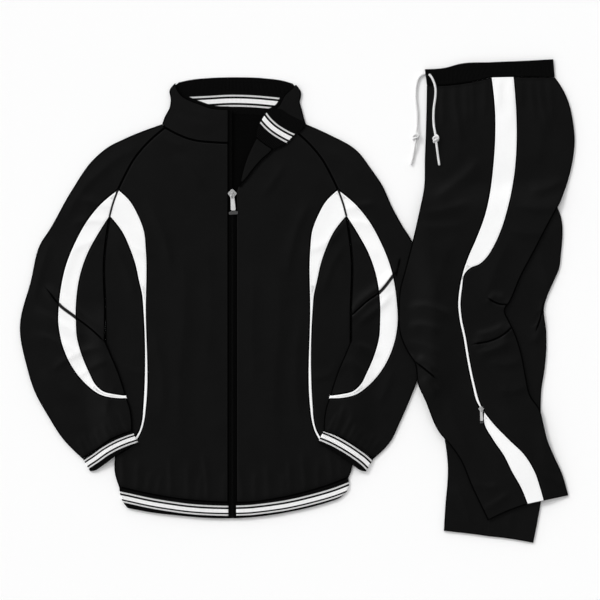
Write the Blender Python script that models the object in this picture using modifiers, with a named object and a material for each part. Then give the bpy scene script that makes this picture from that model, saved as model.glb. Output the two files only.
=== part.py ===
"""A tracksuit laid flat: a zip jacket face up, and trousers on their side.

Every cut piece is one wall of cloth. Its outline is a ring of seam lines, its height
comes from what it lies on, and its creased edges curl down to the layer beneath.
"""
import math
from collections import namedtuple

import bmesh
import bpy
import numpy as np
from mathutils.geometry import delaunay_2d_cdt

MM = 0.001

# Cloth and seams
WALL = 1.2 * MM
COLLAR_WALL = 1.5 * MM
COLLAR_CREASE = 2.7 * MM
SEAM = 0.2 * MM
CREASE_GAP = 0.4 * MM
TUCK = 0.9 * MM
LAYER_GAP = 0.4 * MM
SLIVER = 0.1 * MM
LINE_STEP = 26 * MM
PITCH = 36 * MM
EDGE_CLEARANCE = 0.42
CURVE_PARTS = 16
END_BEND = 0.5

# Corners of an inset outline: the turn's cosine above which it runs straight on, the least
# divisor at a sharp corner, how far the curl may reach there, and the turn's cosine below
# which unlike insets are both widened
STRAIGHT_ON = 0.95
SHARPEST = 0.12
LONGEST_CORNER = 1.3
SHARP_CORNER = -0.5
BLUNT_INSET = 1.7 * MM
SAME_INSET = 0.0001 * MM

# Edge of a laid tube: its width and height, and how far the cloth crowns inwards
CREASE_WIDTH = 2.6 * MM
EDGE_RISE = 4.6 * MM
CROWN = 0.9 * MM
CROWN_REACH = 110 * MM
CREASE_FACETS = 3

# Where the garments lie: the jacket's hem on its middle line, the trousers' waist corner
JACKET_PLACE = (-138.8 * MM, -435 * MM)
TROUSERS_PLACE = (255.2 * MM, 484 * MM)

# The collar lifts the cloth about the neck
NECK_CENTRE = (14 * MM, 800 * MM)
NECK_RISE = 0.9 * MM
NECK_REACH = 150 * MM

# The lower sleeve climbs onto the front
SLEEVE_LIFT = 5.9 * MM
SLEEVE_LIFT_REACH = 50 * MM
SLEEVE_LIFT_TOP = 440 * MM
SLEEVE_LIFT_FULL = 372 * MM

# The trousers lie over the left sleeve, and the left leg over the right leg
OVER_SLEEVE = 5.3 * MM
OVER_SLEEVE_REACH = 70 * MM
OVER_SLEEVE_MARGIN = 6 * MM
FLAT_SLEEVE_FROM = 320 * MM
FLAT_SLEEVE_REACH = 27.5 * MM
LEG_START = 286 * MM
LEG_FULL = 380 * MM
HIP_START = 130 * MM
LOWER_LEG_START = 3.9 * MM
LOWER_LEG_RISE = 4.3 * MM
LEG_GAP = 1.0 * MM
OVER_LEG_REACH = 60 * MM
CLEAR_REACH = 12 * MM

# The front zip: sections of its chain and open halves, as (across, above the front's face)
ZIP_MIDDLE = 8.5 * MM
ZIP_BOTTOM = 0.2 * MM
ZIP_TOP = 646 * MM
ZIP_EDGE = 1.3 * MM
OPEN_ZIP_BOTTOM = 646.5 * MM
OPEN_ZIP_TOP = 818 * MM
CHAIN_SECTION = [(-7.1, -1.6), (7.1, -1.6), (7.1, -0.7), (3.2, -0.7), (2.6, 0.0), (-2.6, 0.0),
                 (-3.2, -0.7), (-7.1, -0.7)]
OPEN_HALF_SECTION = [(0.0, -1.6), (7.1, -1.6), (7.1, -0.5), (6.6, 0.0), (4.6, 0.0),
                     (4.0, -0.7), (0.0, -0.7)]
TURNED_HALF_SECTION = [(0.3, 0.4), (4.3, 0.4), (4.3, 1.3), (3.8, 1.8), (1.9, 1.8),
                       (1.4, 1.3), (0.3, 1.3)]

# A slider with its bridge, in millimetres of the front zip, measured from the pull's pivot
SLIDER_OUTLINE = [(-3.0, -8.0), (3.0, -8.0), (3.9, -5.0), (5.4, -1.8), (8.6, 1.9), (9.0, 3.2),
                  (8.2, 4.6), (4.6, 8.2), (1.9, 11.4), (-1.9, 11.4), (-4.6, 8.2), (-8.2, 4.6),
                  (-9.0, 3.2), (-8.6, 1.9), (-5.4, -1.8), (-3.9, -5.0)]
SLIDER_LOW = 0.3
SLIDER_HIGH = 1.7
BRIDGE_OUTLINE = [(-5.3, 1.3), (-3.7, 1.3), (-3.7, 3.6), (-3.1, 4.2), (3.1, 4.2), (3.7, 3.6),
                  (3.7, 1.3), (5.3, 1.3), (5.3, 4.4), (4.1, 5.6), (-4.1, 5.6), (-5.3, 4.4)]
BRIDGE_HALF_WIDTH = 1.2
PIVOT_HEIGHT = 3.1
EDGE_CHAMFER = 0.3

# The pull tab, hanging from its bar, in the same millimetres
BAR_RADIUS = 0.8
BAR_HALF_LENGTH = 3.2
BAR_SIDES = 12
TAB_HALF_THICKNESS = 0.7
EYE_LENGTH = 6.9
EYE_HALF_WIDTH = 2.2
TAB_TOP = 0.6
TAB_HALF_WIDTH_TOP = 3.8
TAB_SHOULDER = 1.0
TAB_CORNER = 2.0
GRIP_HALF_THICKNESS = 1.1
GRIP_GAP = 0.3
GRIP_SLOPE = 2.6
GRIP_CORNER = 1.4
NOTCH_HALF_WIDTH = 2.4
NOTCH_DEPTH = 2.4

# Each zip: place of the pull's pivot, size against the front zip, lengths, and which way it hangs
FRONT_PULL = {"place": (8.5, 647), "scale": 1.0, "turn": 3.8, "tilt": 2.4, "tab_end": 31.0,
              "tab_half_width": 4.9, "grip_end": 39.2, "grip_half_width": 9.1}
ANKLE_PULL = {"place": (112.2, -701.5), "scale": 0.62, "turn": 3.0, "tilt": 1.9,
              "tab_end": 36.0, "tab_half_width": 4.6, "grip_end": 43.6, "grip_half_width": 5.8}

# Drawcords: a round cord, and the knot near its free end
CORD_RADIUS = 2.25 * MM
CORD_STEP = 10 * MM
CORD_GAP = 0.3 * MM
CORD_SIDES_EXTRA = 2
KNOT_HOLE_RADIUS = 2.55
KNOT_SIDES = 16
KNOT_SECTIONS = [(-10.0, 3.6, 3.5), (-8.4, 5.6, 4.5), (-4.0, 7.0, 5.1), (0.0, 6.3, 4.8),
                 (4.0, 7.0, 5.1), (8.4, 5.6, 4.5), (10.0, 3.6, 3.5)]
KNOT_LIFT = 2.9 * MM
KNOT_LEVEL_REACH = 12 * MM
KNOT_LIFT_REACH = 34 * MM
CORD_ON_FRONT = [(8, 30), (13, 36), (18, 46), (21, 58), (21, 74), (18, 96), (17, 117), (18, 134),
                 (20.5, 149.5), (21.75, 160), (23, 170.5), (25, 186), (29, 213)]
CORD_ON_FLOOR = [(0.2, 28.6), (-8, 32.5), (-13.5, 40), (-16.5, 50), (-18, 64), (-18, 80), (-16, 98),
                 (-15, 116), (-15.5, 132), (-17, 145.5), (-18, 156), (-19, 166.5), (-22, 186),
                 (-28, 212)]
KNOT_ON_FRONT = 9
KNOT_ON_FLOOR = 10

# The largest folds: their crest's points, half their width, and their height, all in
# millimetres; the sleeves' points are (towards the wearer's left, up from the hem), and the
# legs' are (from the waist's front corner to the back, down from the waist)
Fold = namedtuple("Fold", "points half_width height")
SLEEVE_FOLDS = [
    Fold([(-362, 474), (-337, 447), (-306, 421), (-272, 393), (-250, 370)], 8, 3.4),
    Fold([(-358, 453), (-337, 427), (-306, 403), (-272, 377), (-248, 355)], 4.2, -2.0),
    Fold([(-392, 424), (-352, 399), (-312, 378), (-276, 352)], 9, 2.9),
    Fold([(-400, 372), (-360, 360), (-318, 342), (-284, 322)], 9, 2.2),
    Fold([(338, 500), (310, 468), (284, 448), (264, 432), (246, 412)], 8, 3.2),
    Fold([(330, 485), (303, 452), (279, 435), (260, 418), (240, 399)], 4.2, -2.0),
    Fold([(332, 456), (306, 426), (280, 404), (256, 386)], 8, 2.8),
    Fold([(250, 350), (276, 342), (306, 322)], 8, 2.0),
]
LEFT_LEG_FOLDS = [
    Fold([(10, 286), (44, 262), (84, 230), (116, 192)], 13, 2.6),
    Fold([(284, 236), (244, 258), (204, 264)], 13, 2.3),
    Fold([(-40, 500), (-10, 494), (30, 502), (60, 520)], 10, 2.8),
    Fold([(-40, 536), (-8, 532), (36, 546)], 9, 2.3),
    Fold([(128, 470), (146, 475), (162, 478)], 8, 2.4),
    Fold([(128, 482), (146, 489), (160, 492)], 4.2, -2.0),
    Fold([(96, 552), (128, 547), (150, 538), (164, 524)], 8, 2.8),
    Fold([(101, 570), (130, 564), (151, 555), (166, 544)], 4.2, -2.0),
    Fold([(98, 588), (132, 582), (156, 571), (174, 556)], 8, 3.0),
    Fold([(-16, 592), (4, 606), (24, 626)], 8, 2.9),
    Fold([(-16, 609), (-2, 619), (16, 634)], 4.2, -2.0),
    Fold([(-6, 634), (10, 650), (28, 672)], 8, 2.4),
]
RIGHT_LEG_FOLDS = [
    Fold([(234, 500), (227, 518), (219, 536)], 4.0, -1.6),
    Fold([(236, 534), (228, 552), (214, 570)], 8, 1.8),
]
FOLD_ENDS = 0.3
FOLD_LEAN = 1.25
FOLD_SPREAD = 2.4
ROUND_SHARE = 0.45
DEEPEST_FOLD = 1.2 * MM
HIGHEST_FOLD = 5.0 * MM
FOLD_STEP = 15 * MM
FOLD_FLANK = 1.9
FOLD_POINT_GAP = 5 * MM

# Seam lines of the jacket, shared by both sides: (out from the middle, up from the hem)
JACKET_LINES = {
    "raglan": [(126, 782), (166, 746), (188, 719), (207, 685), (220, 658)],
    "raglan_back": [(118, 793), (158, 752), (186, 716), (206, 685), (220, 658)],
    "armhole": [(220, 658), (230, 631), (237, 605)],
    "crescent_outer": [(220, 658), (257, 627), (284, 593), (307, 551), (324, 509), (338, 437),
                       (340, 391), (334, 354), (303, 289), (281, 265), (255, 247), (230, 241),
                       (202, 240)],
    "crescent_inner": [(237, 605), (261, 567), (280, 532), (293, 497), (304, 427), (304, 396),
                       (302, 363), (292, 326), (278, 293), (264, 267), (250, 255), (227, 249),
                       (204, 246)],
    "side_upper": [(237, 605), (248, 517), (246, 419), (246, 357)],
    "sleeve_inner_upper": [(246, 357), (233, 326), (219, 293), (210, 266), (204, 246)],
    "sleeve_inner_tail": [(204, 246), (202, 240)],
    "sleeve_inner_lower": [(202, 240), (196, 222), (191, 174)],
    "insert_outer": [(220, 658), (196, 635), (180, 607), (168, 575), (164, 537), (164, 420),
                     (164, 221), (167, 197), (173, 175), (181, 159)],
    "insert_inner": [(237, 605), (212, 573), (197, 541), (186, 509), (179, 477), (172, 445),
                     (170, 420), (170, 221), (172, 197), (178, 175), (185, 163)],
    "cuff_seam": [(291, 119), (263, 137), (231, 159), (191, 174)],
    "cuff_outer_edge": [(291, 119), (276, 94)],
    "cuff_bottom": [(276, 94), (266, 96), (252, 105), (218, 130), (180, 153)],
    "cuff_inner_edge": [(191, 174), (180, 153)],
}

# Lines that differ between the sides: (out from the middle, up from the hem)
RIGHT_LINES = {
    "sleeve_neck": [(132, 789), (126, 782)],
    "sleeve_neck_back": [(132, 789), (118, 793)],
    "overarm": [(132, 789), (207, 760), (242, 742), (269, 719), (314, 655), (360, 574),
                (374, 553), (395, 475), (417, 381), (404, 307), (387, 253), (360, 204),
                (330, 158), (291, 119)],
    "tail_outer": [(181, 159), (200, 141), (226, 128)],
    "tail_inner": [(185, 163), (203, 147), (227, 134)],
    "side_middle": [(246, 357), (244, 290), (236, 200), (227, 134)],
    "side_piping": [(227, 134), (226, 128)],
    "side_lower": [(226, 128), (227, 93), (218, 62)],
    "band_side": [(218, 62), (213, 38), (202, 21)],
}
LEFT_LINES = {
    "sleeve_neck": [(156, 789), (126, 782)],
    "sleeve_neck_back": [(156, 789), (118, 797)],
    "overarm": [(156, 789), (201, 769), (259, 735), (286, 700), (309, 666), (328, 624),
                (347, 589), (368, 555), (386, 490), (400, 410), (395, 320), (374, 263),
                (343, 190), (326, 155), (291, 119)],
    "tail_outer": [(181, 159), (206, 144), (248, 134)],
    "tail_inner": [(185, 163), (208, 150), (248, 140)],
    "side_middle": [(246, 357), (247, 290), (248, 200), (248, 140)],
    "side_piping": [(248, 140), (248, 134)],
    "side_lower": [(248, 134), (248, 101), (241, 81)],
    "band_side": [(241, 81), (241, 60), (223, 40)],
}

# Lines across the jacket: (towards the wearer's left, up from the hem)
ACROSS_LINES = {
    "hem_right": [(-218, 62), (-148, 46.5), (-96, 38), (-43, 33), (1, 31)],
    "hem_left": [(16, 31), (34, 31), (103, 40), (156, 52), (202, 66), (241, 81)],
    "band_bottom_right": [(-202, 21), (-154, 12), (-93, 5), (-46, 1), (1, 0)],
    "band_bottom_left": [(16, 0), (56, 3), (123, 13), (190, 29), (223, 40)],
    "hem_back": [(-218, 62), (-148, 46.5), (-43, 33), (34, 31), (103, 40), (156, 52),
                 (202, 66), (241, 81)],
    "band_bottom_back": [(-202, 21), (-93, 5), (8, 0), (123, 13), (190, 29), (223, 40)],
    "front_right": [(1, 31), (1, 751)],
    "band_end_right": [(1, 31), (1, 0)],
    "front_left": [(16, 31), (16, 655)],
    "band_end_left": [(16, 31), (16, 0)],
    "roll": [(16, 655), (21, 668), (37, 721), (57, 763)],
    "neck_right": [(-126, 782), (-102, 769), (-80, 760), (-58, 755), (-37, 753), (1, 751)],
    "neck_left": [(57, 763), (82, 758), (104, 766), (126, 782)],
    "neck_back": [(-118, 793), (-70, 803), (14, 809), (80, 805), (118, 797)],
    "collar_end_right": [(1, 751), (1, 819)],
    "collar_side_right": [(-132, 789), (-127, 803), (-117, 823), (-115, 838), (-117, 857),
                          (-106, 871)],
    "collar_side_left": [(156, 789), (154, 795), (148, 817), (144, 832), (146, 853),
                         (136, 868)],
    "collar_top_back": [(-106, 871), (-74, 878), (-28, 882), (18, 883), (72, 881), (110, 876),
                        (136, 868)],
    "collar_top_right": [(-106, 871), (-102, 860), (-93, 847), (-74, 836), (-58, 830),
                         (-35, 822), (1, 819)],
    "collar_top_left": [(136, 868), (128, 861), (113, 847), (100, 825), (78, 813)],
    "collar_roll": [(78, 813), (66, 795), (59, 779), (57, 763)],
    "turned_top": [(78, 813), (100, 820), (126, 806), (152, 794)],
    "turned_end": [(152, 794), (152, 785), (134, 769), (112, 748), (91, 739)],
    "turned_neck": [(91, 739), (72, 751), (57, 763)],
    "facing_roll": [(22, 664), (37, 721), (57, 763)],
    "facing_free": [(91, 739), (85, 733), (67, 717), (52, 700), (35, 678), (22, 664)],
}

# Lines of the trousers: (from the waist's front corner to the back, down from the waist)
TROUSER_LINES = {
    "waist_top": [(0, 20), (41, 17), (71, 9), (132, 6), (202, 3), (257, 0)],
    "waist_front": [(0, 20), (4, 52)],
    "waist_back": [(257, 0), (260, 36)],
    "waist_seam_front": [(4, 52), (33, 52), (94, 45), (133, 36)],
    "waist_seam_stripe": [(133, 36), (178, 35)],
    "waist_seam_rear": [(178, 35), (260, 36)],
    "stripe_front": [(133, 36), (140, 106), (140, 162), (136, 218), (130, 266), (119, 314),
                     (101, 362), (87, 394), (77, 422), (69, 458), (66, 490), (69, 522),
                     (76, 554), (84, 602), (94, 650), (105.5, 690), (117.6, 706.6)],
    "stripe_rear": [(178, 35), (184, 122), (184, 172), (179, 234), (166, 298), (151, 346),
                    (136, 378), (126, 394), (110, 410), (90, 419), (81, 428), (74.5, 459),
                    (71.5, 490), (74.5, 522), (81.5, 554), (89.5, 602), (99.5, 650),
                    (111, 690), (118.8, 705.8)],
    "gusset_top": [(117.6, 706.6), (118.8, 705.8)],
    "gusset_front": [(117.6, 706.6), (118.2, 728), (135, 760), (158, 794), (174, 826),
                     (192, 858), (205, 890)],
    "gusset_rear": [(118.8, 705.8), (137, 729), (168, 761), (201, 794), (220, 826),
                    (231, 858), (238, 883)],
    "front_hip": [(4, 52), (3, 112), (0, 200), (-2, 260), (-8, 290)],
    "front_leg": [(-8, 290), (-26, 368), (-39, 418), (-51, 466), (-53, 506), (-51, 546),
                  (-35, 586), (-21, 608), (-14, 651), (0, 682), (28, 746), (53, 776),
                  (68, 797), (93, 854), (126, 923)],
    "back_hip": [(260, 36), (275, 58), (289, 90), (296, 122), (300, 162), (296, 202),
                 (289, 234), (271, 286)],
    "back_leg": [(271, 286), (247, 330), (220, 382), (191, 437), (171, 484), (160, 503),
                 (168, 523), (180, 548), (194, 593), (202, 635), (211, 673), (230, 702),
                 (237, 730), (245, 762), (258, 794), (273, 826), (287, 873)],
    "left_hem_front": [(126, 923), (164, 905), (205, 890)],
    "left_hem_gusset": [(205, 890), (238, 883)],
    "left_hem_rear": [(238, 883), (287, 873)],
    "lower_front": [(2, 292), (8, 340), (16, 400), (22, 470), (26, 560), (28, 650), (34, 720),
                    (39, 757), (43, 782), (46, 816), (45, 850), (42, 882), (38, 944)],
    "lower_back": [(264, 292), (272, 314), (272, 394), (269, 418), (259, 442), (245, 474),
                   (239, 494), (243, 546), (243, 586), (240, 618), (233, 666), (232, 700),
                   (233, 760), (233, 840), (232, 886), (226, 922), (217, 968)],
    "lower_hem_front": [(38, 944), (107, 952), (128, 955)],
    "lower_hem_rear": [(128, 955), (164, 959), (217, 968)],
    "outseam": [(150, 36), (155, 170), (150, 292), (120, 400), (108, 500), (112, 650),
                (122, 800), (128, 955)],
    "crotch_front": [(2, 292), (60, 300), (130, 302)],
    "crotch_rear": [(130, 302), (200, 300), (264, 292)],
    "inseam_lower": [(130, 302), (118, 400), (112, 500), (114, 650), (122, 800), (128, 955)],
    "crotch_front_left": [(-8, 290), (60, 300), (130, 302)],
    "crotch_rear_left": [(130, 302), (200, 300), (271, 286)],
    "inseam_left": [(130, 302), (100, 400), (80, 500), (96, 600), (120, 700), (165, 800),
                    (200, 892)],
    "left_hem_inner_front": [(126, 923), (164, 905), (200, 892)],
    "left_hem_inner_rear": [(200, 892), (238, 883), (287, 873)],
    "join_front": [(-8, 290), (2, 292)],
    "join_back": [(264, 292), (271, 286)],
    "waist_seam_floor_front": [(4, 52), (33, 52), (94, 45), (150, 36)],
    "waist_seam_floor_rear": [(150, 36), (260, 36)],
}


def soft_line(points, step=LINE_STEP):
    """A soft curve through the points, in even steps, as an array of metres."""
    knots = np.array(points, float) * MM
    spans = np.linalg.norm(np.diff(knots, axis=0), axis=1)
    slopes = np.diff(knots, axis=0) / spans[:, None]
    tangents = np.zeros_like(knots)
    if len(knots) == 2:
        tangents[:] = slopes[0]
    else:
        share = spans[1:, None] / (spans[1:] + spans[:-1])[:, None]
        tangents[1:-1] = slopes[:-1] * share + slopes[1:] * (1 - share)
        tangents[0] = (1 + END_BEND) * slopes[0] - END_BEND * tangents[1]
        tangents[-1] = (1 + END_BEND) * slopes[-1] - END_BEND * tangents[-2]
    fine = [knots[0]]
    for index, span in enumerate(spans):
        for part in np.linspace(0, 1, CURVE_PARTS + 1)[1:]:
            near = 2 * part ** 3 - 3 * part ** 2 + 1
            far = 3 * part ** 2 - 2 * part ** 3
            leave = (part ** 3 - 2 * part ** 2 + part) * span
            arrive = (part ** 3 - part ** 2) * span
            fine.append(near * knots[index] + far * knots[index + 1]
                        + leave * tangents[index] + arrive * tangents[index + 1])
    fine = np.array(fine)
    run = np.concatenate([[0], np.cumsum(np.linalg.norm(np.diff(fine, axis=0), axis=1))])
    count = max(1, round(run[-1] / step))
    even = np.linspace(0, run[-1], count + 1)
    return np.column_stack([np.interp(even, run, column) for column in fine.T])


def soft_step(value):
    """0 below 0, 1 above 1, smooth between."""
    value = np.clip(value, 0, 1)
    return value * value * (3 - 2 * value)


def distance_to(places, line):
    """How far each place is from a line."""
    best = np.full(len(places), np.inf)
    for start, end in zip(line[:-1], line[1:]):
        along = end - start
        part = np.clip(((places - start) @ along) / (along @ along), 0, 1)
        best = np.minimum(best, np.linalg.norm(places - start - part[:, None] * along, axis=1))
    return best


def is_inside(places, ring):
    """Which places lie inside a closed ring."""
    inside = np.zeros(len(places), bool)
    for start, end in zip(ring, np.roll(ring, -1, axis=0)):
        crosses = (start[1] > places[:, 1]) != (end[1] > places[:, 1])
        if start[1] != end[1]:
            reach = start[0] + (places[:, 1] - start[1]) * (end[0] - start[0]) / (end[1] - start[1])
            inside ^= crosses & (places[:, 0] < reach)
    return inside


def distance_outside(places, ring):
    """How far each place is outside a closed ring, 0 within it."""
    closed = np.vstack([ring, ring[:1]])
    return np.where(is_inside(places, ring), 0, distance_to(places, closed))


def join_lines(*lines):
    """Lines run head to tail into one closed ring."""
    return np.vstack([line[:-1] for line in lines])


def inset_ring(ring, widths):
    """Move a ring inwards, each of its edges by its own width."""
    after = np.roll(ring, -1, axis=0)
    edges = after - ring
    area = np.sum(ring[:, 0] * after[:, 1] - after[:, 0] * ring[:, 1])
    lengths = np.linalg.norm(edges, axis=1)[:, None]
    inward = np.sign(area) * np.column_stack([-edges[:, 1], edges[:, 0]]) / lengths
    moved = ring.copy()
    for index in range(len(ring)):
        before, behind = inward[index - 1], widths[index - 1]
        here, width = inward[index], widths[index]
        facing = float(before @ here)
        if facing < SHARP_CORNER and abs(behind - width) > SEAM:
            behind, width = max(behind, BLUNT_INSET), max(width, BLUNT_INSET)
        if facing > STRAIGHT_ON:
            moved[index] += (before + here) * max(behind, width) / (1 + facing)
        elif abs(behind - width) < SAME_INSET:
            moved[index] += (before + here) * width / max(1 + facing, SHARPEST)
        else:
            turn = 1 - facing * facing
            moved[index] += (before * (behind - width * facing)
                             + here * (width - behind * facing)) / max(turn, SHARPEST)
    return moved


def beside(places, line):
    """How far each place is from a line, how far along it as a share, and on which side."""
    best = np.full(len(places), np.inf)
    share, side = np.zeros(len(places)), np.ones(len(places))
    lengths = np.linalg.norm(np.diff(line, axis=0), axis=1)
    run = np.concatenate([[0], np.cumsum(lengths)])
    for index, (start, end) in enumerate(zip(line[:-1], line[1:])):
        way = end - start
        part = np.clip(((places - start) @ way) / (way @ way), 0, 1)
        off = places - start - part[:, None] * way
        distance = np.linalg.norm(off, axis=1)
        nearer = distance < best
        best = np.where(nearer, distance, best)
        share = np.where(nearer, (run[index] + part * lengths[index]) / run[-1], share)
        side = np.where(nearer, np.sign(way[0] * off[:, 1] - way[1] * off[:, 0]), side)
    return best, share, side


def lay_folds(folds, up=1):
    """The folds of a table, with their lines and sizes in metres."""
    return [Fold(soft_line([(x, up * y) for x, y in fold.points], FOLD_STEP),
                 fold.half_width * MM, fold.height * MM) for fold in folds]


def fold_height(places, folds):
    """How far the folds lift the cloth: each leans to one side, and fades at its ends."""
    total = np.zeros(len(places))
    for fold in folds:
        reach = FOLD_SPREAD * FOLD_LEAN * fold.half_width
        low, high = fold.points.min(axis=0) - reach, fold.points.max(axis=0) + reach
        near = np.flatnonzero(((places > low) & (places < high)).all(axis=1))
        away, share, side = beside(places[near], fold.points)
        width = fold.half_width * np.where(side > 0, 1 / FOLD_LEAN, FOLD_LEAN)
        ends = soft_step(share / FOLD_ENDS) * soft_step((1 - share) / FOLD_ENDS)
        rounded = np.exp(-(away / width) ** 2)
        crest = np.clip(1 - away / (FOLD_SPREAD * width), 0, 1) ** 2
        total[near] += fold.height * ends * (ROUND_SHARE * rounded + (1 - ROUND_SHARE) * crest)
    return np.clip(total, -DEEPEST_FOLD, HIGHEST_FOLD)


def fold_places(folds, ring):
    """Places along the crests and flanks of the folds that lie well inside a ring."""
    places = []
    closed = np.vstack([ring, ring[:1]])
    for fold in folds:
        ways = np.gradient(fold.points, axis=0)
        ways /= np.linalg.norm(ways, axis=1)[:, None]
        over = np.column_stack([-ways[:, 1], ways[:, 0]]) * fold.half_width * FOLD_FLANK
        rows = np.vstack([fold.points, fold.points + over, fold.points - over])
        rows = rows[is_inside(rows, ring)]
        if len(rows):
            rows = rows[distance_to(rows, closed) > FOLD_POINT_GAP]
        for place in rows:
            if all(np.linalg.norm(place - other) > FOLD_POINT_GAP for other in places):
                places.append(place)
    return np.array(places)


def thickness_of(triangle):
    """The least height of a flat triangle."""
    sides = np.roll(triangle, -1, axis=0) - triangle
    area = abs(sides[0][0] * sides[1][1] - sides[0][1] * sides[1][0])
    return area / np.linalg.norm(sides, axis=1).max()


def lattice_within(ring, pitch):
    """Places of an even three-way lattice that lie well inside a ring."""
    low, high = ring.min(axis=0), ring.max(axis=0)
    row_step = pitch * math.sqrt(0.75)
    places = []
    for row in range(math.floor(low[1] / row_step), math.ceil(high[1] / row_step) + 1):
        shift = pitch / 2 if row % 2 else 0.0
        for column in range(math.floor(low[0] / pitch) - 1, math.ceil(high[0] / pitch) + 1):
            places.append((column * pitch + shift, row * row_step))
    places = np.array(places)
    places = places[is_inside(places, ring)]
    if len(places) == 0:
        return places
    return places[distance_to(places, np.vstack([ring, ring[:1]])) > EDGE_CLEARANCE * pitch]


class Piece:
    """One cut piece of cloth: flat sheets of an open surface, joined along creases."""

    def __init__(self):
        self.mesh = bmesh.new()
        self.first_face_up = None

    def add_sheet(self, stretches, height, faces_up=True, folds=()):
        """Fill a ring of (line, inset, outer inset) stretches at the given height.

        Gives back, for each stretch, its points of the mesh and the way out of the ring.
        """
        ring, inner, outer, spans = [], [], [], []
        for line, inset, outer_inset in stretches:
            spans.append((len(ring), len(line)))
            ring.extend(line[:-1])
            inner.extend([inset] * (len(line) - 1))
            outer.extend([outer_inset] * (len(line) - 1))
        ring = np.array(ring)
        edge = inset_ring(ring, inner)
        outwards = inset_ring(ring, outer) - edge
        reach = np.array(inner) - np.array(outer)
        reach = np.maximum(reach, np.roll(reach, 1)) * LONGEST_CORNER
        lengths = np.maximum(np.linalg.norm(outwards, axis=1), 1e-9)
        outwards *= np.minimum(1, reach / lengths)[:, None]
        places = lattice_within(edge, PITCH)
        creased = fold_places(folds, edge)
        if len(places) and len(creased):
            gaps = np.linalg.norm(places[:, None] - creased[None], axis=2).min(axis=1)
            places = places[gaps > FOLD_STEP]
        count = len(edge)
        flat = np.vstack([each for each in (edge, creased, places) if len(each)])
        order = list(range(count))
        area = np.sum(edge[:, 0] * np.roll(edge[:, 1], -1) - np.roll(edge[:, 0], -1) * edge[:, 1])
        if area < 0:
            order.reverse()
        made = delaunay_2d_cdt([tuple(place) for place in flat], [], [order], 1, 1e-7, True)
        corners, triangles, sources = made[0], made[2], made[3]
        plan = np.array([(corner[0], corner[1]) for corner in corners])
        levels = height(plan)
        points = [self.mesh.verts.new((place[0], place[1], level))
                  for place, level in zip(plan, levels)]
        found = {}
        for index, source in enumerate(sources):
            for one in source:
                found[one] = points[index]
        middles = np.array([plan[list(triangle)].mean(axis=0) for triangle in triangles])
        for triangle, within in zip(triangles, is_inside(middles, edge)):
            if within and thickness_of(plan[list(triangle)]) > SLIVER:
                face = self.mesh.faces.new([points[index] for index in triangle])
                if self.first_face_up is None:
                    self.first_face_up = (face, faces_up)
        edges = []
        for start, length in spans:
            indices = [(start + step) % count for step in range(length)]
            edges.append(([found[index] for index in indices], outwards[indices]))
        return edges

    def add_lip(self, upper, height):
        """Points straight below a sheet's edge, where its curl ends."""
        plan = np.array([point.co.xy for point in upper[0]])
        lip = [self.mesh.verts.new((place[0], place[1], level))
               for place, level in zip(plan, height(plan))]
        return (lip, upper[1])

    def add_crease(self, upper, lower):
        """Curl from an edge of the upper sheet round to the edge or lip beneath it."""
        tops, outwards = upper
        bottoms = lower[0]
        rows = [tops]
        for facet in range(1, CREASE_FACETS):
            angle = math.pi * facet / CREASE_FACETS
            row = []
            for top, bottom, out in zip(tops, bottoms, outwards):
                share = (1 - math.cos(angle)) / 2
                place = top.co.lerp(bottom.co, share)
                place.x += out[0] * math.sin(angle)
                place.y += out[1] * math.sin(angle)
                row.append(self.mesh.verts.new(place))
            rows.append(row)
        rows.append(bottoms)
        for above, below in zip(rows[:-1], rows[1:]):
            for index in range(len(tops) - 1):
                self.mesh.faces.new([above[index], above[index + 1], below[index + 1],
                                     below[index]])

    def finish(self, name, garment, material, wall=WALL):
        """Make the object, with its wall laid inwards from its outer face."""
        unused = [point for point in self.mesh.verts if not point.link_faces]
        bmesh.ops.delete(self.mesh, geom=unused, context="VERTS")
        bmesh.ops.recalc_face_normals(self.mesh, faces=self.mesh.faces)
        face, faces_up = self.first_face_up
        face.normal_update()
        if (face.normal.z > 0) != faces_up:
            bmesh.ops.reverse_faces(self.mesh, faces=self.mesh.faces)
        mesh = bpy.data.meshes.new(name)
        self.mesh.to_mesh(mesh)
        self.mesh.free()
        mesh.shade_smooth()
        mesh.set_sharp_from_angle(angle=math.radians(40))
        piece = bpy.data.objects.new(name, mesh)
        collection.objects.link(piece)
        piece.parent = garment
        mesh.materials.append(material)
        solidify = piece.modifiers.new("wall", "SOLIDIFY")
        solidify.thickness = wall
        solidify.offset = -1
        solidify.use_even_offset = True
        return piece


def seam(line):
    """A stretch sewn to its neighbour."""
    return (line, SEAM, SEAM)


def free(line):
    """A stretch that ends at an open edge."""
    return (line, 0.0, 0.0)


def crease(line, gap=0.0, width=CREASE_WIDTH):
    """A stretch that curls down at the garment's edge."""
    return (line, gap + width, gap)


def tucked(line, gap=0.0, width=CREASE_WIDTH):
    """A stretch of a lower sheet, just inside the curled edge of the sheet above."""
    inset = gap + width + TUCK
    return (line, inset, inset)


def back(line):
    """The same line, run the other way."""
    return line[::-1]


def chain(*edges):
    """Edges of a sheet that run on from each other, as one; a later edge has the corner."""
    points, outwards = list(edges[0][0]), list(edges[0][1])
    for later, ways in edges[1:]:
        points[-1:] = later
        outwards[-1:] = ways
    return (points, outwards)


def turned_back(edge):
    """An edge of a sheet, run the other way."""
    return (edge[0][::-1], edge[1][::-1])


def floor(places):
    """The outer face of cloth that lies on the ground."""
    return np.zeros(len(places))


# Scene
for old in list(bpy.data.objects):
    bpy.data.objects.remove(old, do_unlink=True)
collection = bpy.data.collections.new("tracksuit")
bpy.context.scene.collection.children.link(collection)


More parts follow.
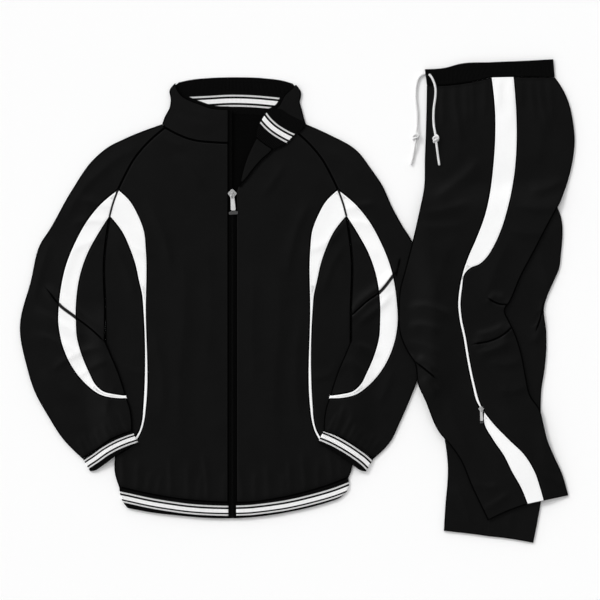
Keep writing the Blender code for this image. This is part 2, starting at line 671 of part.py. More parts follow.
def make_material(name, colour, roughness, metallic=0.0):
    """A plain finish."""
    material = bpy.data.materials.new(name)
    material.use_nodes = True
    shader = material.node_tree.nodes["Principled BSDF"]
    shader.inputs["Base Color"].default_value = (*colour, 1.0)
    shader.inputs["Roughness"].default_value = roughness
    shader.inputs["Metallic"].default_value = metallic
    return material


black_cloth = make_material("black cloth", (0.010, 0.010, 0.010), 0.75)
black_rib = make_material("black rib", (0.004, 0.004, 0.004), 0.9)
white_cloth = make_material("white cloth", (0.85, 0.85, 0.85), 0.7)
white_cord = make_material("white cord", (0.80, 0.80, 0.80), 0.8)
zip_black = make_material("zip black", (0.006, 0.006, 0.006), 0.45)
metal = make_material("metal", (0.62, 0.62, 0.63), 0.3, 1.0)
grip_plastic = make_material("grip plastic", (0.055, 0.055, 0.057), 0.5)


def make_garment(name, place):
    """An empty that carries one garment's pieces."""
    empty = bpy.data.objects.new(name, None)
    empty.location = (*place, 0)
    collection.objects.link(empty)
    return empty


jacket = make_garment("jacket", JACKET_PLACE)
trousers = make_garment("trousers", TROUSERS_PLACE)

# Lines in metres: each side of the jacket has its own set, and the trousers have one
SIDES = {"right": -1, "left": 1}
lines = {"right": {}, "left": {}}
for side, hand in SIDES.items():
    own = RIGHT_LINES if side == "right" else LEFT_LINES
    for table in (JACKET_LINES, own):
        for key, points in table.items():
            lines[side][key] = soft_line([(hand * out, up) for out, up in points])
across = {key: soft_line(points) for key, points in ACROSS_LINES.items()}
leg = {key: soft_line([(along, -down) for along, down in points])
       for key, points in TROUSER_LINES.items()}

sleeve_ring = {}
for side in SIDES:
    own = lines[side]
    sleeve_ring[side] = join_lines(
        own["overarm"], own["cuff_outer_edge"], own["cuff_bottom"], back(own["cuff_inner_edge"]),
        back(own["sleeve_inner_lower"]), back(own["sleeve_inner_tail"]),
        back(own["sleeve_inner_upper"]), back(own["side_upper"]), back(own["armhole"]),
        back(own["raglan"]), back(own["sleeve_neck"]))
right, left = lines["right"], lines["left"]
body_ring = join_lines(
    right["side_upper"], right["side_middle"], right["side_piping"], right["side_lower"],
    across["hem_back"], back(left["side_lower"]), back(left["side_piping"]),
    back(left["side_middle"]), back(left["side_upper"]),
    np.array([left["side_upper"][0], right["side_upper"][0]]))
lower_leg_ring = join_lines(
    leg["crotch_front"], leg["crotch_rear"], leg["lower_back"], back(leg["lower_hem_rear"]),
    back(leg["lower_hem_front"]), back(leg["lower_front"]))
upper_leg_ring = join_lines(
    leg["crotch_front_left"], leg["crotch_rear_left"], leg["back_leg"],
    back(leg["left_hem_rear"]), back(leg["left_hem_gusset"]), back(leg["left_hem_front"]),
    back(leg["front_leg"]))
left_sleeve_from_trousers = sleeve_ring["left"] + np.array(JACKET_PLACE) - np.array(TROUSERS_PLACE)
sleeve_folds = lay_folds(SLEEVE_FOLDS)
left_leg_folds = lay_folds(LEFT_LEG_FOLDS, -1)
right_leg_folds = lay_folds(RIGHT_LEG_FOLDS, -1)


# Heights of the jacket
def crown(places, edges):
    """How far the upper cloth rises inwards from the creased edges."""
    nearest = np.min([distance_to(places, edge) for edge in edges], axis=0)
    return CROWN * soft_step(nearest / CROWN_REACH)


def neck_lift(places):
    """The collar's stiffness holds the cloth up round the neck."""
    away = np.linalg.norm(places - np.array(NECK_CENTRE), axis=1)
    return NECK_RISE * soft_step(1 - away / NECK_REACH)


def body_top(places):
    """The outer face of the jacket's front."""
    edges = [lines[side][key] for side in SIDES
             for key in ("overarm", "side_upper", "side_middle", "side_lower")]
    return EDGE_RISE + crown(places, edges) + neck_lift(places)


def sleeve_base(places):
    """The outer face of the sleeve's underside: on the floor, or up on the front."""
    over = soft_step(1 - distance_outside(places, body_ring) / SLEEVE_LIFT_REACH)
    climb = soft_step((SLEEVE_LIFT_TOP - places[:, 1]) / (SLEEVE_LIFT_TOP - SLEEVE_LIFT_FULL))
    return SLEEVE_LIFT * over * climb


def sleeve_top(places):
    """The outer face of the sleeve's upper side."""
    edges = [lines[side][key] for side in SIDES
             for key in ("overarm", "side_upper", "sleeve_inner_upper", "sleeve_inner_lower")]
    pressed = soft_step((places[:, 0] - FLAT_SLEEVE_FROM) / FLAT_SLEEVE_REACH)
    rise = crown(places, edges) + fold_height(places, sleeve_folds)
    return EDGE_RISE + rise * (1 - pressed) + neck_lift(places) + sleeve_base(places)


def turned_top_face(places):
    """The turned-out front, one wall above the front that it lies on."""
    return body_top(places) + LAYER_GAP + WALL


def turned_collar_face(places):
    """The turned-out end of the collar, on the collar and the front."""
    return body_top(places) + LAYER_GAP + COLLAR_WALL


# Heights of the trousers
def trouser_base(places):
    """The floor, or the jacket's left sleeve where the trousers lie over it."""
    away = distance_outside(places, left_sleeve_from_trousers)
    return OVER_SLEEVE * soft_step(1 - (away - OVER_SLEEVE_MARGIN) / OVER_SLEEVE_REACH)


def leg_share(places):
    """0 at the crotch, 1 where the two legs are full tubes."""
    return soft_step((-places[:, 1] - LEG_START) / (LEG_FULL - LEG_START))


def over_lower_leg(places):
    """1 over the right leg, falling away to 0 outside it."""
    return soft_step(1 - distance_outside(places, lower_leg_ring) / OVER_LEG_REACH)


def lower_leg_rise(places):
    """The height of the right leg, upper face over lower."""
    return LOWER_LEG_START + (LOWER_LEG_RISE - LOWER_LEG_START) * leg_share(places)


def lower_leg_top(places):
    """The outer face of the right leg's upper side, flat where the left leg lies on it."""
    clear = soft_step(distance_outside(places, upper_leg_ring) / CLEAR_REACH)
    folds = fold_height(places, right_leg_folds) * clear
    return trouser_base(places) + lower_leg_rise(places) + folds


def left_leg_base(places):
    """The outer face of the left leg's underside."""
    rise = lower_leg_rise(places) + LEG_GAP
    return trouser_base(places) + rise * over_lower_leg(places)


def trouser_top(places):
    """The outer face of the trousers' upper side."""
    hip = soft_step((-places[:, 1] - HIP_START) / (LEG_START - HIP_START))
    on_floor = trouser_base(places) + EDGE_RISE
    on_leg = left_leg_base(places) + EDGE_RISE
    edges = [leg[key] for key in ("front_hip", "front_leg", "back_hip", "back_leg")]
    return (on_floor * (1 - hip) + on_leg * hip + crown(places, edges)
            + fold_height(places, left_leg_folds))


# The jacket's body
def build_front(side):
    """One front, its white insert and its side front."""
    own = lines[side]
    ring = [seam(own["raglan"]), seam(own["insert_outer"]), seam(own["tail_outer"]),
            crease(own["side_lower"])]
    if side == "right":
        ring += [seam(across["hem_right"]), seam(across["front_right"]),
                 seam(back(across["neck_right"]))]
    else:
        ring += [seam(back(across["hem_left"])), seam(across["front_left"]),
                 seam(across["roll"]), seam(across["neck_left"])]
    front = Piece()
    edges = front.add_sheet(ring, body_top)
    front.add_crease(edges[3], front.add_lip(edges[3], floor))
    front.finish(f"{side}_front", jacket, black_cloth)

    insert = Piece()
    edges = insert.add_sheet([seam(own["armhole"]), seam(own["insert_inner"]),
                              seam(own["tail_inner"]), crease(own["side_piping"]),
                              seam(back(own["tail_outer"])), seam(back(own["insert_outer"]))],
                             body_top)
    insert.add_crease(edges[3], insert.add_lip(edges[3], floor))
    insert.finish(f"{side}_body_insert", jacket, white_cloth)

    side_front = Piece()
    edges = side_front.add_sheet([crease(own["side_upper"], CREASE_GAP),
                                  crease(own["side_middle"], CREASE_GAP),
                                  seam(back(own["tail_inner"])),
                                  seam(back(own["insert_inner"]))], body_top)
    edge = chain(edges[0], edges[1])
    side_front.add_crease(edge, side_front.add_lip(edge, floor))
    side_front.finish(f"{side}_side_front", jacket, black_cloth)


def build_back():
    """The back, flat on the floor."""
    piece = Piece()
    piece.add_sheet([
        seam(right["raglan_back"]), seam(right["armhole"]),
        tucked(right["side_upper"], CREASE_GAP), tucked(right["side_middle"], CREASE_GAP),
        tucked(right["side_piping"]), tucked(right["side_lower"]),
        seam(across["hem_back"]),
        tucked(back(left["side_lower"])), tucked(back(left["side_piping"])),
        tucked(back(left["side_middle"]), CREASE_GAP),
        tucked(back(left["side_upper"]), CREASE_GAP),
        seam(back(left["armhole"])), seam(back(left["raglan_back"])),
        seam(back(across["neck_back"]))], floor, faces_up=False)
    piece.finish("back", jacket, black_cloth)


def build_sleeve(side):
    """One sleeve: its front, crescent and inset above, and its back beneath."""
    own = lines[side]
    outer = Piece()
    edges = outer.add_sheet([crease(own["overarm"]), seam(own["cuff_seam"]),
                             crease(back(own["sleeve_inner_lower"])),
                             seam(back(own["crescent_outer"])), seam(back(own["raglan"])),
                             seam(back(own["sleeve_neck"]))], sleeve_top, folds=sleeve_folds)
    outer.add_crease(edges[0], outer.add_lip(edges[0], sleeve_base))
    outer.add_crease(edges[2], outer.add_lip(edges[2], sleeve_base))
    outer.finish(f"{side}_sleeve_front", jacket, black_cloth)

    crescent = Piece()
    edges = crescent.add_sheet([seam(own["crescent_outer"]),
                                crease(back(own["sleeve_inner_tail"])),
                                seam(back(own["crescent_inner"])), seam(back(own["armhole"]))],
                               sleeve_top, folds=sleeve_folds)
    crescent.add_crease(edges[1], crescent.add_lip(edges[1], sleeve_base))
    crescent.finish(f"{side}_sleeve_crescent", jacket, white_cloth)

    inset = Piece()
    edges = inset.add_sheet([seam(own["crescent_inner"]),
                             crease(back(own["sleeve_inner_upper"]), CREASE_GAP),
                             crease(back(own["side_upper"]), CREASE_GAP)], sleeve_top,
                            folds=sleeve_folds)
    edge = chain(edges[1], edges[2])
    inset.add_crease(edge, inset.add_lip(edge, sleeve_base))
    inset.finish(f"{side}_sleeve_inset", jacket, black_cloth)

    under = Piece()
    under.add_sheet([tucked(own["overarm"]), seam(own["cuff_seam"]),
                     tucked(back(own["sleeve_inner_lower"])),
                     tucked(back(own["sleeve_inner_tail"])),
                     tucked(back(own["sleeve_inner_upper"]), CREASE_GAP),
                     tucked(back(own["side_upper"]), CREASE_GAP),
                     seam(back(own["armhole"])), seam(back(own["raglan_back"])),
                     seam(back(own["sleeve_neck_back"]))], sleeve_base, faces_up=False)
    under.finish(f"{side}_sleeve_back", jacket, black_cloth)

    cuff = Piece()
    ring = [seam(own["cuff_seam"]), crease(own["cuff_inner_edge"]),
            free(back(own["cuff_bottom"])), crease(back(own["cuff_outer_edge"]))]
    above = cuff.add_sheet(ring, sleeve_top)
    below = cuff.add_sheet(ring, sleeve_base)
    cuff.add_crease(above[1], below[1])
    cuff.add_crease(above[3], below[3])
    cuff.finish(f"{side}_cuff", jacket, black_rib)


def build_hem():
    """The rib band: two fronts that curl round the sides, and the back."""
    for side in SIDES:
        own = lines[side]
        bottom = across[f"band_bottom_{side}"]
        if side == "right":
            ring = [crease(own["band_side"]), free(bottom), seam(back(across["band_end_right"])),
                    seam(back(across["hem_right"]))]
        else:
            ring = [crease(own["band_side"]), free(back(bottom)),
                    seam(back(across["band_end_left"])), seam(across["hem_left"])]
        band = Piece()
        edges = band.add_sheet(ring, body_top)
        band.add_crease(edges[0], band.add_lip(edges[0], floor))
        band.finish(f"{side}_hem_band", jacket, black_rib)
    band = Piece()
    band.add_sheet([tucked(right["band_side"]), free(across["band_bottom_back"]),
                    tucked(back(left["band_side"])), seam(back(across["hem_back"]))],
                   floor, faces_up=False)
    band.finish("back_hem_band", jacket, black_rib)


def build_collar():
    """The collar's back and two fronts, and the turned-out end with its facing."""
    right_front = Piece()
    edges = right_front.add_sheet([
        seam(right["sleeve_neck"]), seam(across["neck_right"]),
        free(across["collar_end_right"]), free(back(across["collar_top_right"])),
        crease(back(across["collar_side_right"]), 0.0, COLLAR_CREASE)], body_top)
    right_front.add_crease(edges[4], right_front.add_lip(edges[4], floor))
    right_front.finish("right_collar", jacket, black_cloth, COLLAR_WALL)

    left_front = Piece()
    edges = left_front.add_sheet([
        crease(across["collar_side_left"], 0.0, COLLAR_CREASE), free(across["collar_top_left"]),
        free(across["collar_roll"]), seam(across["neck_left"]),
        seam(back(left["sleeve_neck"]))], body_top)
    left_front.add_crease(edges[0], left_front.add_lip(edges[0], floor))
    left_front.finish("left_collar", jacket, black_cloth, COLLAR_WALL)

    rear = Piece()
    rear.add_sheet([
        seam(right["sleeve_neck_back"]), seam(across["neck_back"]),
        seam(back(left["sleeve_neck_back"])),
        tucked(across["collar_side_left"], 0.0, COLLAR_CREASE),
        free(back(across["collar_top_back"])),
        tucked(back(across["collar_side_right"]), 0.0, COLLAR_CREASE)], floor, faces_up=False)
    rear.finish("back_collar", jacket, black_rib, COLLAR_WALL)

    turned = Piece()
    turned.add_sheet([free(across["turned_top"]), free(across["turned_end"]),
                      seam(across["turned_neck"]), free(back(across["collar_roll"]))],
                     turned_collar_face)
    turned.finish("left_collar_turned_end", jacket, black_rib, COLLAR_WALL)

    facing = Piece()
    facing.add_sheet([free(across["facing_roll"]), seam(back(across["turned_neck"])),
                      free(across["facing_free"])], turned_top_face)
    facing.finish("left_front_facing", jacket, black_cloth)


# The trousers
def build_trousers():
    """The waistband, the left leg on top and the right leg beneath."""
    band = Piece()
    seam_line = np.vstack([leg["waist_seam_front"], leg["waist_seam_stripe"][1:],
                           leg["waist_seam_rear"][1:]])
    ring = [free(leg["waist_top"]), crease(leg["waist_back"]), seam(back(seam_line)),
            crease(back(leg["waist_front"]))]
    above = band.add_sheet(ring, trouser_top)
    below = band.add_sheet(ring, floor)
    band.add_crease(above[1], below[1])
    band.add_crease(above[3], below[3])
    band.finish("waistband", trousers, black_rib)

    front = Piece()
    above = front.add_sheet([seam(leg["waist_seam_front"]), seam(leg["stripe_front"]),
                             seam(leg["gusset_front"]), free(back(leg["left_hem_front"])),
                             crease(back(leg["front_leg"])), crease(back(leg["front_hip"]))],
                            trouser_top, folds=left_leg_folds)
    below = front.add_sheet([crease(leg["front_leg"]), free(leg["left_hem_inner_front"]),
                             seam(back(leg["inseam_left"])),
                             seam(back(leg["crotch_front_left"]))], left_leg_base)
    lip = front.add_lip(above[5], trouser_base)
    front.add_crease(chain(turned_back(above[5]), turned_back(above[4])),
                     chain(turned_back(lip), below[0]))
    front.finish("left_front_leg", trousers, black_cloth)

    rear = Piece()
    above = rear.add_sheet([seam(leg["waist_seam_rear"]), crease(leg["back_hip"]),
                            crease(leg["back_leg"]), free(back(leg["left_hem_rear"])),
                            seam(back(leg["gusset_rear"])), seam(back(leg["stripe_rear"]))],
                           trouser_top, folds=left_leg_folds)
    below = rear.add_sheet([seam(leg["crotch_rear_left"]), crease(leg["back_leg"]),
                            free(back(leg["left_hem_inner_rear"])), seam(back(leg["inseam_left"]))],
                           left_leg_base)
    lip = rear.add_lip(above[1], trouser_base)
    rear.add_crease(chain(above[1], above[2]), chain(lip, below[1]))
    rear.finish("left_back_leg", trousers, black_cloth)

    stripe = Piece()
    stripe.add_sheet([seam(leg["waist_seam_stripe"]), seam(leg["stripe_rear"]),
                      seam(back(leg["gusset_top"])), seam(back(leg["stripe_front"]))],
                     trouser_top, folds=left_leg_folds)
    stripe.finish("left_side_stripe", trousers, white_cloth)

    gusset = Piece()
    gusset.add_sheet([seam(leg["gusset_top"]), seam(leg["gusset_rear"]),
                      free(back(leg["left_hem_gusset"])), seam(back(leg["gusset_front"]))],
                     trouser_top)
    gusset.finish("left_ankle_gusset", trousers, white_cloth)

    front = Piece()
    above = front.add_sheet([seam(leg["crotch_front"]), seam(leg["inseam_lower"]),
                             free(back(leg["lower_hem_front"])),
                             crease(back(leg["lower_front"]))], lower_leg_top)
    below = front.add_sheet([seam(leg["waist_seam_floor_front"]), seam(leg["outseam"]),
                             free(back(leg["lower_hem_front"])), crease(back(leg["lower_front"])),
                             tucked(back(leg["join_front"])), tucked(back(leg["front_hip"]))],
                            trouser_base)
    front.add_crease(above[3], below[3])
    front.finish("right_front_leg", trousers, black_cloth)

    rear = Piece()
    above = rear.add_sheet([seam(leg["crotch_rear"]), crease(leg["lower_back"]),
                            free(back(leg["lower_hem_rear"])), seam(back(leg["inseam_lower"]))],
                           lower_leg_top, folds=right_leg_folds)
    below = rear.add_sheet([seam(leg["waist_seam_floor_rear"]), tucked(leg["back_hip"]),
                            tucked(back(leg["join_back"])), crease(leg["lower_back"]),
                            free(back(leg["lower_hem_rear"])), seam(back(leg["outseam"]))],
                           trouser_base)
    rear.add_crease(above[1], below[3])
    rear.finish("right_back_leg", trousers, black_cloth)


# Zips, sliders and pulls
def link_solid(name, mesh, parent, material=None):
    """Make an object of a finished mesh."""
    bmesh.ops.recalc_face_normals(mesh, faces=mesh.faces)
    data = bpy.data.meshes.new(name)
    mesh.to_mesh(data)
    mesh.free()
    solid = bpy.data.objects.new(name, data)
    collection.objects.link(solid)
    solid.parent = parent
    if material:
        data.materials.append(material)
    return solid


def join_rings(mesh, rings, closed_end=True):
    """Faces between rings of points, with the first and last filled."""
    for low, high in zip(rings[:-1], rings[1:]):
        for index in range(len(low)):
            after = (index + 1) % len(low)
            mesh.faces.new([low[index], low[after], high[after], high[index]])
    if closed_end:
        mesh.faces.new(rings[0][::-1])
        mesh.faces.new(rings[-1])


def upright_line(across_it, start, end):
    """A straight line up or down the jacket's front, in even steps."""
    return soft_line([(across_it / MM, start / MM), (across_it / MM, end / MM)])


def build_strip(name, line, section):
    """A solid of one section along a line of the jacket's front; across is to the left."""
    mesh = bmesh.new()
    ways = np.gradient(line, axis=0)
    ways /= np.linalg.norm(ways, axis=1)[:, None]
    rings = []
    for place, way, level in zip(line, ways, body_top(line)):
        ring = []
        for across_it, above in section:
            spot = place + np.array([-way[1], way[0]]) * across_it * MM
            ring.append(mesh.verts.new((spot[0], spot[1], level + above * MM)))
        rings.append(ring)
    join_rings(mesh, rings)
    return link_solid(name, mesh, jacket, zip_black)


def build_plate(name, outline, low, high, parent, material=None, chamfer=EDGE_CHAMFER):
    """A flat plate of an outline, with its edges chamfered; all in millimetres."""
    ring = np.array(outline, float)
    small = inset_ring(ring, [chamfer] * len(ring))
    mesh = bmesh.new()
    rings = []
    for shape, level in ((small, low), (ring, low + chamfer), (ring, high - chamfer),
                         (small, high)):
        rings.append([mesh.verts.new((x * MM, y * MM, level * MM)) for x, y in shape])
    join_rings(mesh, rings)
    return link_solid(name, mesh, parent, material)


def join_shapes(solid, tool, operation):
    """Join a helper to a solid, or cut it out of it."""
    tool.hide_render = True
    tool.hide_viewport = True
    step = solid.modifiers.new(operation.lower(), "BOOLEAN")
    step.operation = operation
    step.solver = "EXACT"
    step.object = tool


def build_slider(name, garment, height, zip_sizes):
    """A slider on the cloth, with the bridge that its pull hangs from."""
    place = np.array([zip_sizes["place"]]) * MM
    mount = bpy.data.objects.new(f"{name}_place", None)
    mount.location = (*place[0], height(place)[0])
    mount.scale = [zip_sizes["scale"]] * 3
    mount.parent = garment
    collection.objects.link(mount)
    plate = build_plate(name, SLIDER_OUTLINE, SLIDER_LOW, SLIDER_HIGH, mount, metal)
    bridge = build_plate(f"{name}_bridge", BRIDGE_OUTLINE, -BRIDGE_HALF_WIDTH,
                         BRIDGE_HALF_WIDTH, mount)
    bridge.rotation_euler = (math.radians(90), 0, math.radians(90))
    join_shapes(plate, bridge, "UNION")
    return mount


def build_pull(name, mount, zip_sizes):
    """The pull tab and its grip, turning on the bar under the bridge."""
    hinge = bpy.data.objects.new(f"{name}_hinge", None)
    hinge.location = (0, 0, PIVOT_HEIGHT * MM)
    hinge.rotation_euler = (math.radians(zip_sizes["tilt"]), 0, math.radians(zip_sizes["turn"]))
    hinge.parent = mount
    collection.objects.link(hinge)
    end, half = zip_sizes["tab_end"], zip_sizes["tab_half_width"]
    top_half = TAB_HALF_WIDTH_TOP
    outline = [(EYE_HALF_WIDTH, TAB_TOP), (EYE_HALF_WIDTH, -EYE_LENGTH),
               (-EYE_HALF_WIDTH, -EYE_LENGTH), (-EYE_HALF_WIDTH, TAB_TOP),
               (-top_half, TAB_TOP), (-top_half, -EYE_LENGTH - TAB_SHOULDER),
               (-half, TAB_CORNER - end), (TAB_CORNER - half, -end), (half - TAB_CORNER, -end),
               (half, TAB_CORNER - end), (top_half, -EYE_LENGTH - TAB_SHOULDER),
               (top_half, TAB_TOP)]
    tab = build_plate(name, outline, -TAB_HALF_THICKNESS, TAB_HALF_THICKNESS, hinge, metal)
    bar = bmesh.new()
    bmesh.ops.create_cone(bar, cap_ends=True, segments=BAR_SIDES, radius1=BAR_RADIUS * MM,
                          radius2=BAR_RADIUS * MM, depth=2 * BAR_HALF_LENGTH * MM)
    bar = link_solid(f"{name}_bar", bar, hinge)
    bar.rotation_euler = (0, math.radians(90), 0)
    join_shapes(tab, bar, "UNION")
    start, stop = end + GRIP_GAP, zip_sizes["grip_end"]
    narrow, wide = half - TAB_CORNER, zip_sizes["grip_half_width"]
    notch = NOTCH_HALF_WIDTH
    grip = [(-notch, -start), (-narrow, -start), (-wide, -start - GRIP_SLOPE),
            (-wide, GRIP_CORNER - stop), (GRIP_CORNER - wide, -stop),
            (wide - GRIP_CORNER, -stop), (wide, GRIP_CORNER - stop),
            (wide, -start - GRIP_SLOPE), (narrow, -start), (notch, -start),
            (notch, -start - NOTCH_DEPTH), (-notch, -start - NOTCH_DEPTH)]
    build_plate(f"{name}_grip", grip, -GRIP_HALF_THICKNESS, GRIP_HALF_THICKNESS, hinge,
                grip_plastic, 2 * EDGE_CHAMFER)


def build_zips():
    """The front zip, closed to its slider and open above it, and both sliders."""
    build_strip("zip_chain", upright_line(ZIP_MIDDLE, ZIP_BOTTOM, ZIP_TOP), CHAIN_SECTION)
    build_strip("zip_right_half", upright_line(ZIP_EDGE, OPEN_ZIP_TOP, OPEN_ZIP_BOTTOM),
                OPEN_HALF_SECTION)
    left_line = np.vstack([across["facing_free"][::-1], across["turned_end"][-2:0:-1]])
    build_strip("zip_left_half", left_line[::-1], TURNED_HALF_SECTION)
    mount = build_slider("front_slider", jacket, body_top, FRONT_PULL)
    build_pull("front_pull", mount, FRONT_PULL)
    mount = build_slider("ankle_slider", trousers, trouser_top, ANKLE_PULL)
    build_pull("ankle_pull", mount, ANKLE_PULL)


# The drawcord's two ends
def build_drawcord(name, route, knot_index, height):
    """One free end of the cord, lying on the cloth or the floor, through its knot."""
    line = soft_line([(along, -down) for along, down in route], CORD_STEP)
    knot_place = np.array([route[knot_index][0], -route[knot_index][1]]) * MM
    away = np.linalg.norm(line - knot_place, axis=1)
    lift = KNOT_LIFT * soft_step((KNOT_LIFT_REACH - away) / (KNOT_LIFT_REACH - KNOT_LEVEL_REACH))
    knot_level = height(knot_place[None, :])[0]
    rest = np.where(away < KNOT_LEVEL_REACH, knot_level, height(line))
    levels = rest + CORD_GAP + CORD_RADIUS + lift
    curve = bpy.data.curves.new(name, "CURVE")
    curve.dimensions = "3D"
    curve.bevel_depth = CORD_RADIUS
    curve.bevel_resolution = CORD_SIDES_EXTRA
    curve.use_fill_caps = True
    spline = curve.splines.new("POLY")
    spline.points.add(len(line) - 1)
    for point, place, level in zip(spline.points, line, levels):
        point.co = (place[0], place[1], level, 1)
    curve.materials.append(white_cord)
    cord = bpy.data.objects.new(name, curve)
    cord.parent = trousers
    collection.objects.link(cord)
    before, after = np.array(route[knot_index - 1]), np.array(route[knot_index + 1])
    heading = math.atan2(after[0] - before[0], after[1] - before[1])
    build_knot(f"{name}_knot", knot_place, knot_level + CORD_GAP + CORD_RADIUS + KNOT_LIFT,
               heading)


def build_knot(name, place, level, heading):
    """The knot's outer form, as a closed ring round the cord."""
    mesh = bmesh.new()
    rings = []
    for along, half_width, half_height in KNOT_SECTIONS:
        rings.append(knot_ring(mesh, along, half_width, half_height))
    hole = [knot_ring(mesh, along, KNOT_HOLE_RADIUS, KNOT_HOLE_RADIUS)
            for along, half_width, half_height in KNOT_SECTIONS[::-1]]
    join_rings(mesh, rings + hole + rings[:1], closed_end=False)
    knot = link_solid(name, mesh, trousers, white_cord)
    knot.location = (place[0], place[1], level)
    knot.rotation_euler = (0, 0, heading)


def knot_ring(mesh, along, half_width, half_height):
    """One ring of points across the knot."""
    ring = []
    for index in range(KNOT_SIDES):
        angle = 2 * math.pi * index / KNOT_SIDES
        ring.append(mesh.verts.new((half_width * math.cos(angle) * MM, -along * MM,
                                    half_height * math.sin(angle) * MM)))
    return ring


for side in SIDES:
    build_front(side)
    build_sleeve(side)
build_back()
build_hem()
build_collar()
build_trousers()
build_zips()
build_drawcord("drawcord_on_front", CORD_ON_FRONT, KNOT_ON_FRONT, trouser_top)
build_drawcord("drawcord_on_floor", CORD_ON_FLOOR, KNOT_ON_FLOOR, floor)
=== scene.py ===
"""How the tracksuit looks: its cloth, ribs, zips and cords, with the floor, light and camera.

The outlines and heights are those of the part's source, drawn finer, with the folds,
creases, stitches, teeth and braid that its solids leave out.
"""
import math
from collections import namedtuple

import bmesh
import bpy
import numpy as np
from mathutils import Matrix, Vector, noise
from mathutils.geometry import delaunay_2d_cdt


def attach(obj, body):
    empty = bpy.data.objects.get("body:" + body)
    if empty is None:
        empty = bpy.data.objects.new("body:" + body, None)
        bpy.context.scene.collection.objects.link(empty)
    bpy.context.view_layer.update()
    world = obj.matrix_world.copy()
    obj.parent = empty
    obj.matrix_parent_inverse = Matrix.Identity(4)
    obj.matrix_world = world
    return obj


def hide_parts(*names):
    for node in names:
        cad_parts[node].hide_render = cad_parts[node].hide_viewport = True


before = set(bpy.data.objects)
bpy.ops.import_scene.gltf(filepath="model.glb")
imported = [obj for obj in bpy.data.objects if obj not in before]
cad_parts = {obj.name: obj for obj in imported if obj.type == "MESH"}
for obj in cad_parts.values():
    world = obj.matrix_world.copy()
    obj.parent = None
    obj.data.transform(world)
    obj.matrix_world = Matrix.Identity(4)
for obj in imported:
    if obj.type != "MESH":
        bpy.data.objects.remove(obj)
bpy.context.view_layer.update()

MM = 0.001
BODY = "tracksuit"

# Cloth and seams, as in the part's source, but with less of a gap between two curled edges
CREASE_GAP = 0.05 * MM
WALL = 1.2 * MM
COLLAR_WALL = 1.5 * MM
COLLAR_CREASE = 2.7 * MM
SEAM = 0.2 * MM
TUCK = 0.9 * MM
LAYER_GAP = 0.4 * MM
CURVE_PARTS = 16
END_BEND = 0.5

# Corners of an inset outline: the turn's cosine above which it runs straight on, the least
# divisor at a sharp corner, how far the curl may reach there, and the turn's cosine below
# which unlike insets are both widened
STRAIGHT_ON = 0.95
SHARPEST = 0.12
LONGEST_CORNER = 1.3
SHARP_CORNER = -0.5
BLUNT_INSET = 1.7 * MM
SAME_INSET = 0.0001 * MM

# Edge of a laid tube: its width and height, and how far the cloth crowns inwards
CREASE_WIDTH = 2.6 * MM
EDGE_RISE = 4.6 * MM
CROWN = 0.9 * MM
CROWN_REACH = 110 * MM
CREASE_FACETS = 6

# How finely the cloth is drawn
SLIVER = 0.02 * MM
LINE_STEP = 2.4 * MM
HEIGHT_STEP = 26 * MM
PITCH = 4.2 * MM
PLAIN_PITCH = 18 * MM
RIB_PITCH = 4 * MM
EDGE_CLEARANCE = 0.42
EDGE_ROWS = (0.6 * MM, 2.0 * MM, 3.6 * MM)
ROW_ROOM = 0.5 * MM
CREASE_ROWS = (0.0, 0.8, -0.8, 1.8, -1.8, 3.2, -3.2, 5.5, -5.5)
SHARP_ANGLE = 50
LEAST_ROOM = 0.15 * MM

# How the cloth is drawn down at its edges, as (depth, reach): sewn, sewn on a narrow piece,
# sewn where it is turned out, hemmed, and curled
SEWN = (1.5 * MM, 2.3 * MM)
SEWN_NARROW = (0.6 * MM, 0.9 * MM)
SEWN_TURNED = (0.3 * MM, 1.2 * MM)
HEMMED = (0.35 * MM, 3.0 * MM)
CURLED = None
SINKS = (SEWN, SEWN_NARROW, SEWN_TURNED, HEMMED)

# Stitches, and the mark of a point that is beside none
NO_STITCH = 50 * MM
STITCH_ROW = 3.4 * MM
STITCH_LENGTH = 3.2 * MM

# Where the garments lie: the jacket's hem on its middle line, the trousers' waist corner
JACKET_PLACE = (-138.8 * MM, -435 * MM)
TROUSERS_PLACE = (255.2 * MM, 484 * MM)

# What lifts the cloth, as in the part's source
NECK_CENTRE = (14 * MM, 800 * MM)
NECK_RISE = 0.9 * MM
NECK_REACH = 150 * MM
SLEEVE_LIFT = 5.9 * MM
SLEEVE_LIFT_REACH = 50 * MM
SLEEVE_LIFT_TOP = 440 * MM
SLEEVE_LIFT_FULL = 372 * MM
OVER_SLEEVE = 5.3 * MM
OVER_SLEEVE_REACH = 70 * MM
OVER_SLEEVE_MARGIN = 6 * MM
FLAT_SLEEVE_FROM = 320 * MM
FLAT_SLEEVE_REACH = 27.5 * MM
LEG_START = 286 * MM
LEG_FULL = 380 * MM
HIP_START = 130 * MM
LOWER_LEG_START = 3.9 * MM
LOWER_LEG_RISE = 4.3 * MM
LEG_GAP = 1.0 * MM
OVER_LEG_REACH = 60 * MM

# The front zip
ZIP_MIDDLE = 8.5 * MM
ZIP_BOTTOM = 0.2 * MM
ZIP_TOP = 646 * MM
ZIP_EDGE = 1.3 * MM
OPEN_ZIP_BOTTOM = 646.5 * MM
OPEN_ZIP_TOP = 818 * MM

